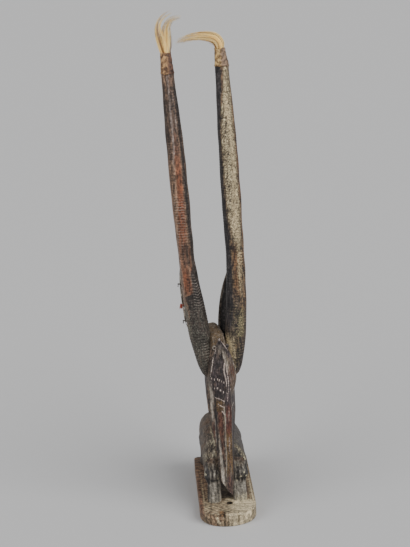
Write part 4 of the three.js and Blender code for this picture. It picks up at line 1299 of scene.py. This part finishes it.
def hatching():
    """Fine slanting scratches: noises drawn out along two opposite slants of the front, each in its own
    patches. The slants are directions in the plane of x and z."""
    (place, scale), out = effect("hatching", {"Vector": None, "Scale": 420.0}, ("Lines",))
    tree = out.id_data
    depth = put(tree, "SeparateXYZ", {0: place}, 1)
    slanted = []
    for slant in (0.75, -0.62):
        cosine, sine = math.cos(slant), math.sin(slant)
        across, along = (
            put(tree, "VectorMath", {0: place, 1: way}, "Value", operation="DOT_PRODUCT")
            for way in ((cosine, 0, sine), (-0.28 * sine, 0, 0.28 * cosine))
        )
        drawn = put(tree, "CombineXYZ", {0: across, 1: depth, 2: along}, 0)
        slanted.append(noise(drawn, scale, 3.0, 0.6, 0.3))
    patch = spread(noise(place, 75.0, 2.0), 0.46, 0.54)
    mixed = put(tree, "Mix", {0: patch, 2: slanted[0], 3: slanted[1]}, 0, data_type="FLOAT")
    feed(out, {"Lines": spread(mixed, 0.4, 0.6)})
    return tree


GRAIN, EDGE, DIRT_SHADE_AND_RUB, HATCH = wood_grain(), broken_edge(), dirt_shade_and_rub(), hatching()


def placed(tree, kind, sockets):
    """Places a shader node group and gives its outputs by name."""
    made = put(tree, "Group", sockets, 0, node_tree=kind).socket.node
    return {output.name: Amount(output) for output in made.outputs}


def new_finish(name, gleam):
    """An empty material: itself, its Principled shader and the Object coordinates."""
    made = bpy.data.materials.new(name)
    made.use_nodes = True
    shader = made.node_tree.nodes["Principled BSDF"]
    feed(shader, {"IOR": 1.45, "Specular IOR Level": gleam})
    return made, shader, put(made.node_tree, "TexCoord", {}, "Object")


def stored(tree, kind):
    """An amount stored at the points of the mesh."""
    return put(tree, "Attribute", {}, "Fac", attribute_type="GEOMETRY", attribute_name=kind)


def carved_wood(name, wood, deep, rust, pale, soot, ochre, line, stretch, scale, hatched, relief=1.0):
    """Blackened wood: streaked brown wood, over it in turn the reddish bare wood, the soot, which in places
    is painted shade, the yellowish crust and the pale crust, which in places is painted highlight, streaked,
    mottled and scratched in themselves, then dirt in the recesses together with painted shade, the pale
    lines together with painted highlights, rubbed edges and open pores."""
    made, shader, place = new_finish(name, 0.35)
    tree = place.tree
    drawn = stretched(place, stretch)
    grain = placed(tree, GRAIN, {"Vector": place, "Stretch": stretch, "Scale": scale})
    scratch = placed(tree, HATCH, {"Vector": place, "Scale": 600.0})["Lines"]
    cloud = noise(place, 48.0, 4.0, 0.6)
    mottle = spread(noise(place, 210.0, 5.0, 0.66, 0.5), 0.39, 0.61)
    speck = noise(place, 560.0, 4.0, 0.65)
    specks = spread(speck, 0.38, 0.62)
    worked = grain["Streaks"] * 0.6 + mottle * 0.4

    def cover(kind, over, size, breaking, soft):
        """Where one of the crusts or finishes lies, with its edge broken over a place."""
        edge = {"Vector": over, "Scale": size, "Break": breaking, "Soft": soft}
        return placed(tree, EDGE, {"Amount": stored(tree, kind), **edge})["Cover"]

    base = tones(worked, shaded(deep, 0.8), deep, wood, shaded(wood, 1.15))
    reds = shades(worked, rust, 0.5, 0.78, 1, 1.2)
    base = blend(cover("rust", drawn, 330.0, 1.1, 0.42) * 0.94, base, reds)
    blacks = shades(worked, soot, 0.7, 1, 1.35, 2.2)
    # The soot also holds painted shade: black under the belly, in the tie hole and at the crown's edges.
    base = blend(cover("soot", drawn, 300.0, 0.95, 0.42) * 0.92, base, blacks)
    yellows = shades(specks, ochre, 0.36, 0.75, 1.2)
    base = blend(cover("ochre", place, 330.0, 2.0, 0.34) * 0.85, base, yellows)
    pales = shades(worked, pale, 0.5, 0.82, 1.1)
    pales = blend(scratch * hatched, pales, colour(*shaded(deep, 0.9)))
    pale_cover = cover("pale", drawn, 300.0, 1.3, 0.36)
    base = blend(pale_cover * 0.92, base, pales)
    wear = {"Hollow": stored(tree, "hollow"), "Worn": stored(tree, "worn")}
    # Dirt in the recesses, with painted shade in the tie hole, under the knees and at the crown's left edge.
    dirt = placed(tree, DIRT_SHADE_AND_RUB, {**wear, "Vector": place})
    base = blend(dirt["DirtAndShade"] * 0.8, base, colour(*shaded(soot, 0.6)))
    # The pale lines also carry painted highlights: on the knee knobs, the right horn's brightest places and
    # the board's right.
    base = blend(cover("line", place, 440.0, 2.2, 0.24) * 0.9, base, shades(specks, line, 0.75, 1))
    base = blend(dirt["Rub"] * 0.4, base, blend(0.5, base, colour(*pale)))
    base = blend(grain["Pores"] * 0.35, base, colour(*shaded(soot, 0.7)))
    base = blend(1.0, base, spread(cloud, 0.34, 0.64, 0.78, 1.12), "MULTIPLY")
    height = grain["Streaks"] * 0.5 - grain["Pores"] * 0.3 + pale_cover * 0.35 + speck * 0.8
    feed(shader, {
        "Base Color": base, "Normal": bump(height, 0.85 * relief, 0.0008),
        "Roughness": spread(cloud, 0.3, 0.7, 0.46, 0.62) + pale_cover * 0.2 - dirt["Rub"] * 0.1,
    })
    return made


WOODS = {
    "left_horn_wood": dict(
        wood=(156, 124, 100), deep=(102, 80, 65), rust=(136, 82, 57), pale=(196, 178, 168), soot=(34, 32, 32),
        ochre=(116, 114, 102), line=(150, 142, 132), stretch=(1.15, 1.15, 0.09), scale=330.0, hatched=0.3,
    ),
    "right_horn_wood": dict(
        wood=(124, 102, 76), deep=(58, 48, 44), rust=(116, 80, 54), pale=(240, 218, 176), soot=(36, 35, 37),
        ochre=(152, 142, 106), line=(238, 214, 166), stretch=(1, 1, 0.16), scale=330.0, hatched=0.82,
    ),
    "head_wood": dict(
        wood=(108, 91, 76), deep=(52, 45, 41), rust=(94, 50, 38), pale=(206, 194, 178), soot=(46, 41, 42),
        ochre=(112, 86, 50), line=(222, 202, 190), stretch=(1, 1, 0.12), scale=380.0, hatched=0.35,
    ),
    "body_wood": dict(
        wood=(118, 102, 86), deep=(58, 50, 44), rust=(112, 84, 64), pale=(204, 196, 180), soot=(44, 43, 43),
        ochre=(140, 124, 90), line=(226, 215, 180), stretch=(1, 1, 0.14), scale=300.0, hatched=0.4,
    ),
    "board_wood": dict(
        wood=(150, 122, 96), deep=(84, 66, 52), rust=(130, 88, 72), pale=(232, 214, 176), soot=(38, 33, 30),
        ochre=(160, 122, 82), line=(252, 234, 194), stretch=(0.42, 1, 0.42), scale=280.0, hatched=0.2,
        relief=1.3,
    ),
}
WOOD_OF = {  # the other parts are of body_wood
    "board": "board_wood", "head": "head_wood", "eyes": "head_wood", "left_horn": "left_horn_wood",
    "right_horn": "right_horn_wood",
}
carving.data.materials.clear()
for wood_name, wood_colours in WOODS.items():
    carving.data.materials.append(carved_wood(wood_name, **wood_colours))
wood_slot = np.array([list(WOODS).index(WOOD_OF.get(part, "body_wood")) for part in PARTS])
carving.data.polygons.foreach_set("material_index", wood_slot[face_part].astype(np.int32))
carving.data.set_sharp_from_angle(angle=math.radians(42))
for mark in MARKS.values():
    bpy.data.materials.remove(mark)
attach(carving, "root")
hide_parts("antelope_carving")

# The tip bindings: a sleeve of raw hide on each horn tip, wrapped and sewn wet so that it shrank tight round
# the wood and the roots of the hair. The hem lies a little over the horn, and the hide is mottled.


def hide_skin(name):
    """A tapered tube with a wall: its section runs up the outside, over the mouth, down the inside and
    round the hem. The outside is puckered into slanting wrinkles and has a low seam, and both ends waver."""
    hem, mouth = sleeve_ends(name)
    seed, seam_at = (71, math.radians(28)) if name == "left_horn" else (72, math.radians(12))
    outer = np.stack([np.linspace(0, 1, 46), np.zeros(46)], -1)
    lip = [(1.006, 0.35), (1.006, SLEEVE_WALL - 0.35)]
    inner = np.stack([np.linspace(1, 0.02, 12), np.full(12, SLEEVE_WALL)], -1)
    lap = [(-0.045, 1.05), (-0.075, 0.75), (-0.07, 0.2)]
    along, inset = np.concatenate([outer, lip, inner, lap]).T[:, :, None]
    angle = around(110)
    outside = np.where((inset < 0.3) & (along >= -0.1), 1.0, 0.0)
    end = uneven_round(20, angle, 0, 12, seed)
    z = hem + along * (mouth - hem) + end * (0.9 * (along > 0.9) - 0.5 * (along < 0.01))
    wrinkle = uneven_round(10, angle, z + 3 * np.sin(angle), 7, seed + 10)
    fine = uneven_round(14, angle, z * 1.6, 3.2, seed + 20)
    turn = np.angle(np.exp(1j * (angle - seam_at)))
    seam = np.exp(-((turn / 0.13) ** 2)) * (0.75 + 0.25 * np.cos(z * 2 * np.pi / 3.4))
    fold = np.exp(-(((z - hem - 0.34 * (mouth - hem) - 2.5 * np.sin(angle)) / 1.3) ** 2))
    out = outside * (0.3 * wrinkle + 0.12 * fine + 0.55 * seam - 0.35 * fold + 0.15)
    lapped = ease(-along, 0, 0.045)
    bare = horn_half(name, np.minimum(z, hem)) + 0.28
    half = sleeve_half(name, np.clip(z, hem, mouth)) - inset + out
    half = half * (1 - lapped) + (bare + np.where(inset > 0.9, 0, 0.8 - inset * 0.5)) * lapped
    return *oval(*horn_middle(name, z), half, half, angle, HORN_SQUARENESS), z


def ring_skin(name, x, y, z, finish):
    """A closed mesh over a grid whose rows also join round from the last to the first."""
    grid = points_at(x, y, z)
    rows, count = grid.shape[:2]
    here = np.arange(rows * count).reshape(rows, count)
    there = np.roll(here, -1, 1)
    walls = np.stack([here, there, np.roll(there, -1, 0), np.roll(here, -1, 0)], -1).reshape(-1, 4)
    return closed_mesh(name, grid.reshape(-1, 3), walls, [], finish)


def hide(name, light, dark, stain_and_shade, edge_x):
    """Mottled hide: brown spots in two sizes on tan, a darker side beyond edge_x with the same mottling, and
    fine pores. On the left sleeve the darker side is painted shade; on the right one it is partly the hide's
    own colour and partly painted shade. The surface is dull, and shinier where it was handled."""
    made, shader, place = new_finish(name, 0.4)
    spots = noise(place, 190.0, 5.0, 0.62, 0.5)
    small = noise(place, 640.0, 3.0, 0.6)
    mottled = spread(spots * 0.7 + small * 0.3, 0.4, 0.6)
    wandering_x = put(place.tree, "SeparateXYZ", {0: place}, 0) + (spots - 0.5) * 0.02
    darker = spread(wandering_x, edge_x * MM - 0.002, edge_x * MM + 0.003)
    base = tones(mottled, shaded(dark, 0.7), dark, light, shaded(light, 1.2))
    feed(shader, {
        "Base Color": blend(darker * 0.9, base, shades(mottled, stain_and_shade, 0.5, 1, 1.3)),
        "Roughness": spread(spots, 0.3, 0.7, 0.5, 0.78),
        "Normal": bump(spots * 0.6 + small * 0.5, 0.8, 0.0006),
    })
    return made


# The third colour of each hide is its darker side: painted shade on the left sleeve, and partly the hide's
# own colour, partly painted shade, on the right.
BINDINGS = {
    "left_tip_binding": (
        "left_horn", hide("left_hide", (158, 124, 86), (110, 78, 54), (74, 52, 46), -55.5),
    ),
    "right_tip_binding": (
        "right_horn", hide("right_hide", (178, 148, 98), (136, 106, 70), (112, 92, 78), 33),
    ),
}
for node, (horn_name, hide_finish) in BINDINGS.items():
    sleeve = ring_skin(node + "_hide", *hide_skin(horn_name), hide_finish)
    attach(sleeve, "root")
    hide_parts(node)

# The hair tufts: locks of long straw-coloured animal hair, their roots bound into the mouth of each sleeve.
# Every strand is a thin three-sided blade that tapers to its end.


def smooth_path(points, t):
    """Points and directions along a curve through the given points, at parts t of its length: each piece
    is a cubic whose slope at a point is half the way between its neighbours."""
    points = np.asarray(points, float)
    ends = np.concatenate([[2 * points[0] - points[1]], points, [2 * points[-1] - points[-2]]])
    fine = np.linspace(0, len(points) - 1, 400)
    piece = np.clip(fine.astype(int), 0, len(points) - 2)
    s = (fine - piece)[:, None]
    a, b, c, d = (ends[piece + k] for k in range(4))
    path = 0.5 * (2 * b + (c - a) * s + (2 * a - 5 * b + 4 * c - d) * s * s + (3 * b - a - 3 * c + d) * s**3)
    length = np.concatenate([[0], np.cumsum(np.linalg.norm(np.diff(path, axis=0), axis=1))])

    def reached(part):
        """Points at parts of the length."""
        return np.stack([np.interp(np.clip(part, 0, 1) * length[-1], length, axis) for axis in path.T], -1)

    way = reached(t + 0.004) - reached(t - 0.004)
    return reached(t), way / np.linalg.norm(way, axis=-1, keepdims=True)


STEPS = 16  # points along a strand
CLUMPS = 24  # clumps of strands in a lock


def strands(route, sizes, count, seed, loose, shortest, thin_out):
    """A lock of hair: every strand starts near its clump's place in the root and keeps it in the lock's
    section, which follows the route and the sizes. It drifts sideways as the square of its length, by up to
    loose, and ends past shortest: the higher thin_out, the fewer strands reach the end of the route. Gives
    points (strand, step, corner) and a number for each strand."""
    draw = np.random.default_rng(seed)
    end = shortest + (1 - shortest) * draw.uniform(0, 1, count) ** thin_out
    t = np.linspace(0, 1, STEPS)[None, :] * end[:, None]
    at, way = smooth_path(route, t)
    across = np.cross([0, 1.0, 0], way)
    across /= np.linalg.norm(across, axis=-1, keepdims=True)
    through = np.cross(across, way)
    chords = np.linalg.norm(np.diff(np.asarray(route, float), axis=0), axis=1)
    parts = np.concatenate([[0], np.cumsum(chords)]) / chords.sum()
    stops = [[part, *size] for part, size in zip(parts, sizes)]
    half, deep = profile(stops, t)
    clump = draw.integers(0, CLUMPS, count)
    radius = 0.9 * np.sqrt(draw.uniform(0.02, 1, CLUMPS))[clump][:, None]
    angle = draw.uniform(0, 2 * np.pi, CLUMPS)[clump][:, None]
    angle = angle + draw.normal(0, 0.4, CLUMPS)[clump][:, None] * t
    off = 0.13 * draw.normal(0, 1, (2, count))[:, :, None]
    drift = loose * draw.normal(0, 1, (2, count)) * (0.25 + draw.uniform(0, 1, count) ** 2)
    drift *= np.where(draw.uniform(0, 1, count) < 0.09, 3, 1)
    u = (radius * np.sin(angle) + off[0]) * half + drift[0][:, None] * t**2
    v = (radius * np.cos(angle) + off[1]) * deep + drift[1][:, None] * t**2
    wave = 0.5 * np.sin(t * draw.uniform(5, 15, count)[:, None] + draw.uniform(0, 6, count)[:, None]) * t
    middle = at + across * (u + wave)[..., None] + through * v[..., None]
    thick = draw.uniform(0.2, 0.42, count)[:, None] * (1 - 0.75 * (t / end[:, None]) ** 1.3)
    corner = np.arange(3) * 2 * np.pi / 3
    ring = across[:, :, None] * np.sin(corner)[:, None] + through[:, :, None] * np.cos(corner)[:, None]
    tone = 0.86 * draw.uniform(0, 1, CLUMPS)[clump] + 0.14 * draw.uniform(0, 1, count)
    tone = np.where(draw.uniform(0, 1, count) < 0.05, 1, tone)
    return middle[:, :, None] + ring * thick[:, :, None, None], tone


def strand_mesh(name, bundles, finish):
    """One mesh of all strands: three walls between two steps and a triangle at each end. The number of each
    strand and the place along it are kept at its points."""
    points, tone = (np.concatenate(part) for part in zip(*bundles))
    count, steps = points.shape[:2]
    here = np.arange(count * steps * 3).reshape(count, steps, 3)
    there = np.roll(here, -1, 2)
    walls = np.stack([here[:, :-1], there[:, :-1], there[:, 1:], here[:, 1:]], -1).reshape(-1, 4)
    caps = np.concatenate([here[:, 0, ::-1], here[:, -1]])
    made = closed_mesh(name, points.reshape(-1, 3), walls, caps, finish)
    along = np.tile(np.repeat(np.linspace(0, 1, steps), 3), count)
    for layer, values in (("strand", np.repeat(tone, steps * 3)), ("along", along)):
        stored_values = made.data.attributes.new(layer, "FLOAT", "POINT").data
        stored_values.foreach_set("value", values.astype(np.float32))
    return made


def hair(name):
    """Straw-coloured hair: each strand has its own tone from pale blond to brown, and a few are nearly
    black. All are more golden at the root and browner at the end, with fine streaks. A slight glow stands
    for the light that passes through them."""
    made, shader, place = new_finish(name, 0.5)
    strand, along = stored(place.tree, "strand"), stored(place.tree, "along")
    streaks = noise(place, 900.0, 3.0)
    base = tones(strand, (255, 246, 200), (255, 226, 150), (244, 186, 104))
    base = blend(spread(strand, 0.72, 0.8), base, colour(124, 84, 48))
    base = blend(spread(strand, 0.92, 0.94), base, colour(58, 46, 38))
    base = blend(spread(along, 0.7, 1.0, 0.0, 0.5), base, colour(138, 104, 76))
    base = blend(spread(along, 0.0, 0.25, 0.3, 0.0), base, colour(236, 180, 108))
    base = blend(spread(streaks, 0.42, 0.66, 0.0, 0.22), base, colour(196, 152, 92))
    feed(shader, {
        "Base Color": base, "Roughness": spread(streaks, 0.3, 0.7, 0.32, 0.55),
        "Emission Color": base, "Emission Strength": 0.24,
    })
    return made


TUFTS = {  # locks: route from the mouth, half widths along it, strands, looseness, shortest, thinning
    "left_hair_tuft": ("left_horn", [
        ([(-2.4, 0, 1.2), (-4.6, 1.5, 12), (-7.4, 3, 25), (-10, 3, 38), (-8.2, 3, 49), (0, 3, 59.5),
          (14.5, 2, 67.5)],
         [(6.4, 7.4), (7.4, 7.4), (7.6, 6.6), (5.4, 5), (4, 4), (3.6, 3.6), (3.2, 3.2)], 270, 2.0, 0.34, 2.8),
        ([(2.2, 0, 1.2), (3.4, 2, 12), (3.6, 3, 25), (4.4, 4, 38), (8, 3, 48), (15, 3, 54), (31, 2, 57.5)],
         [(6.6, 7.4), (8.6, 7.4), (9.6, 7), (8.6, 6), (6.4, 5), (5, 4.4), (4, 4)], 360, 2.2, 0.38, 2.6),
    ]),
    "right_hair_tuft": ("right_horn", [
        ([(0, 0, 1.2), (-1.4, 2, 9), (-9.5, 3, 17), (-27, 4, 20.5), (-45, 4, 20), (-59, 3, 16.5),
          (-74, 2, 12)],
         [(8.2, 8), (10, 8), (10.4, 7.8), (9.6, 7), (8.2, 6), (6.6, 5), (4.4, 4)], 500, 2.8, 0.36, 1.9),
    ]),
}
straw = hair("straw_hair")
for seed, (node, (horn_name, locks)) in enumerate(TUFTS.items(), 81):
    mouth = sleeve_ends(horn_name)[1]
    root_x, root_y = (float(v) for v in horn_middle(horn_name, np.array(float(mouth))))
    narrow = SLEEVES[horn_name][3] / 2 - SLEEVE_WALL - FIT_GAP - 1.0  # half width of the roots in the sleeve
    bundles = []
    for number, (route, sizes, count, *ends) in enumerate(locks):
        whole = [(0, 0, HORN_END + FIT_GAP + 0.4 - mouth), (0, 0, -1.5), *route]
        whole = [(root_x + x, root_y + y, mouth + z) for x, y, z in whole]
        bundles.append(strands(whole, [(narrow, narrow)] * 2 + sizes, count, seed * 10 + number, *ends))
    tuft = strand_mesh(node + "_strands", bundles, straw)
    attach(tuft, "root")
    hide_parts(node)

# The ear threads: three short ends of twisted cotton, each tied round the left ear's rim through a hole in
# it. The middle one is red, and its ends have come apart into a small tassel.


def twisted(path, radius, plies, lay, count=14):
    """A twisted thread: its section is a round with plies lobes, which turns by one lobe for every lay of
    the thread's length, carried along the path."""
    way = np.gradient(path, axis=0)
    length = np.concatenate([[0], np.cumsum(np.linalg.norm(np.diff(path, axis=0), axis=1))])
    way /= np.linalg.norm(way, axis=1, keepdims=True)
    guide = np.array([0.13, 0.21, 0.97])  # along no part of any path
    across = np.cross(way, guide)
    across /= np.linalg.norm(across, axis=1, keepdims=True)
    through = np.cross(way, across)
    angle = around(count)
    lobes = np.abs(np.cos(plies / 2 * (angle + length[:, None] * 2 * np.pi / (plies * lay))))
    size = radius * (0.74 + 0.26 * lobes)
    size[[0, -1]] *= 0.35
    grid = path[:, None] + across[:, None] * (size * np.cos(angle))[..., None]
    return grid + through[:, None] * (size * np.sin(angle))[..., None]


def cotton(name, light, dark):
    """Twisted cotton: fuzz and fibres in two tones, dull, with dust on it."""
    made, shader, place = new_finish(name, 0.1)
    fibre = noise(place, 1800.0, 4.0, 0.6, 0.5)
    dust = noise(place, 420.0, 3.0)
    base = blend(spread(fibre, 0.36, 0.64), colour(*dark), colour(*light))
    feed(shader, {
        "Base Color": blend(spread(dust, 0.5, 0.72, 0.0, 0.35), base, colour(170, 150, 128)),
        "Roughness": spread(dust, 0.3, 0.7, 0.78, 0.95), "Normal": bump(fibre, 0.8, 0.0003),
        "Sheen Weight": 0.25,
    })
    return made


def thread_tie(node, z, finish, frayed):
    """A thread tie: a loop round the rim, a knot of two small turns on its outer side and two short ends.
    The red one's ends are a tassel of loose fibres. All its pieces are one object."""
    rim_x, rim_y = ear_rim(z)
    loop_x, loop_y = rim_x + THREAD_INSET, rim_y + THREAD_SETBACK
    knot_x, knot_y = loop_x - THREAD_LOOP - 0.3, loop_y - 0.4
    turn = np.linspace(0, 2 * np.pi, 60)
    small = np.linspace(0, 3.6 * np.pi, 60)
    drop = np.linspace(0, 1, 26)
    loop = points_at(
        loop_x + THREAD_LOOP * np.cos(turn), loop_y + THREAD_LOOP * np.sin(turn), z + 0.25 * np.sin(turn * 2)
    )
    knot = points_at(
        knot_x + 0.75 * np.sin(small), knot_y - 0.5 * np.cos(small * 0.5), z + 0.95 * np.cos(small)
    )
    grids = [twisted(loop, THREAD_RADIUS * 0.8, 2, 2.2), twisted(knot, THREAD_RADIUS * 0.72, 2, 2.0)]
    for side, reach in ((-1, 3.2), (1, 4.4)):
        end = points_at(
            knot_x - 0.4 - 0.5 * drop * side, knot_y - 0.3 + 0.5 * side * drop,
            z - 0.6 - reach * drop - 0.5 * drop**2,
        )
        grids.append(twisted(end, THREAD_RADIUS * 0.55, 2, 1.8))
    if frayed:
        draw = np.random.default_rng(91)
        for _ in range(70):
            sway = draw.normal(0, 1.1, 2)
            reach = draw.uniform(5.5, 10.5)
            end = points_at(
                knot_x + 0.5 + sway[0] * (0.25 + drop), knot_y - 0.3 + sway[1] * (0.25 + drop),
                z + 2.4 - reach * drop,
            )
            grids.append(twisted(end[::3], 0.27, 2, 3.0, 5))
    pieces = [
        closed_skin(f"{node}_{index}", *grid.transpose(2, 0, 1), finish) for index, grid in enumerate(grids)
    ]
    with bpy.context.temp_override(active_object=pieces[0], selected_editable_objects=pieces):
        bpy.ops.object.join()
    pieces[0].name = node + "_tie"
    return pieces[0]


dark_cotton = cotton("dark_cotton", (70, 58, 50), (34, 28, 26))
red_cotton = cotton("red_cotton", (206, 96, 74), (142, 48, 38))
for node, z in THREADS.items():
    red = node == "ear_thread_red"
    tie = thread_tie(node, z, red_cotton if red else dark_cotton, red)
    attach(tie, "root")
    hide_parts(node)

# Floor, lights and camera. A plain pale floor, two large soft lights in front at the sides, and a camera at
# the viewing height and distance of the picture.
PICTURE_HEIGHT = 547  # in pixels
FOCAL_LENGTH = 1300  # in pixels of the picture
CAMERA_PLACE = (-109.955, -2118.372, 1061.240)  # in millimetres
CAMERA_TURN = (-2.562, 16.870, 3.005)  # yaw, tip down and roll, in degrees
floor_mesh = bpy.data.meshes.new("floor")
floor_mesh.from_pydata([(-30, -30, 0), (30, -30, 0), (30, 30, 0), (-30, 30, 0)], [], [(0, 1, 2, 3)])
floor = new_object("floor", floor_mesh)
floor_finish, floor_shader, _ = new_finish("pale_floor", 0.2)
feed(floor_shader, {"Base Color": colour(196, 196, 196), "Roughness": 0.9})
floor.data.materials.append(floor_finish)

lens = bpy.data.cameras.new("camera")
lens.sensor_width = 36
lens.lens = FOCAL_LENGTH / PICTURE_HEIGHT * 36
lens.clip_end = 100
camera = new_object("camera", lens)
bpy.context.scene.camera = camera


def aim(place, yaw, pitch, roll):
    """Sets the camera at a place, turned by yaw, tipped down by pitch and rolled, in degrees."""
    yaw, pitch, roll = (math.radians(v) for v in (yaw, pitch, roll))
    back = Vector((math.sin(yaw) * math.cos(pitch), -math.cos(yaw) * math.cos(pitch), math.sin(pitch)))
    right = Vector((0, 0, 1)).cross(back).normalized()
    up = back.cross(right)
    turned_right = right * math.cos(roll) - up * math.sin(roll)
    turned_up = up * math.cos(roll) + right * math.sin(roll)
    axes = Matrix((turned_right, turned_up, back)).transposed()
    camera.matrix_world = Matrix.Translation(Vector(place) * MM) @ axes.to_4x4()


aim(CAMERA_PLACE, *CAMERA_TURN)

LIGHTS = {  # direction that it comes from, strength, breadth in degrees
    "right_softbox": ((0.8, -0.75, 0.95), 2.5, 46),
    "left_softbox": ((-0.95, -0.6, 0.8), 1.3, 46),
}
for name, (way, strength, breadth) in LIGHTS.items():
    lamp = bpy.data.lights.new(name, "SUN")
    lamp.energy = strength
    lamp.angle = math.radians(breadth)
    lamp_object = new_object(name, lamp)
    lamp_object.location = [2 * v for v in way]
    lamp_object.rotation_euler = Vector(way).to_track_quat("Z", "Y").to_euler()

world = bpy.data.worlds.new("studio")
bpy.context.scene.world = world
world.use_nodes = True
feed(world.node_tree.nodes["Background"], {"Color": (0.72, 0.72, 0.73, 1), "Strength": 0.5})
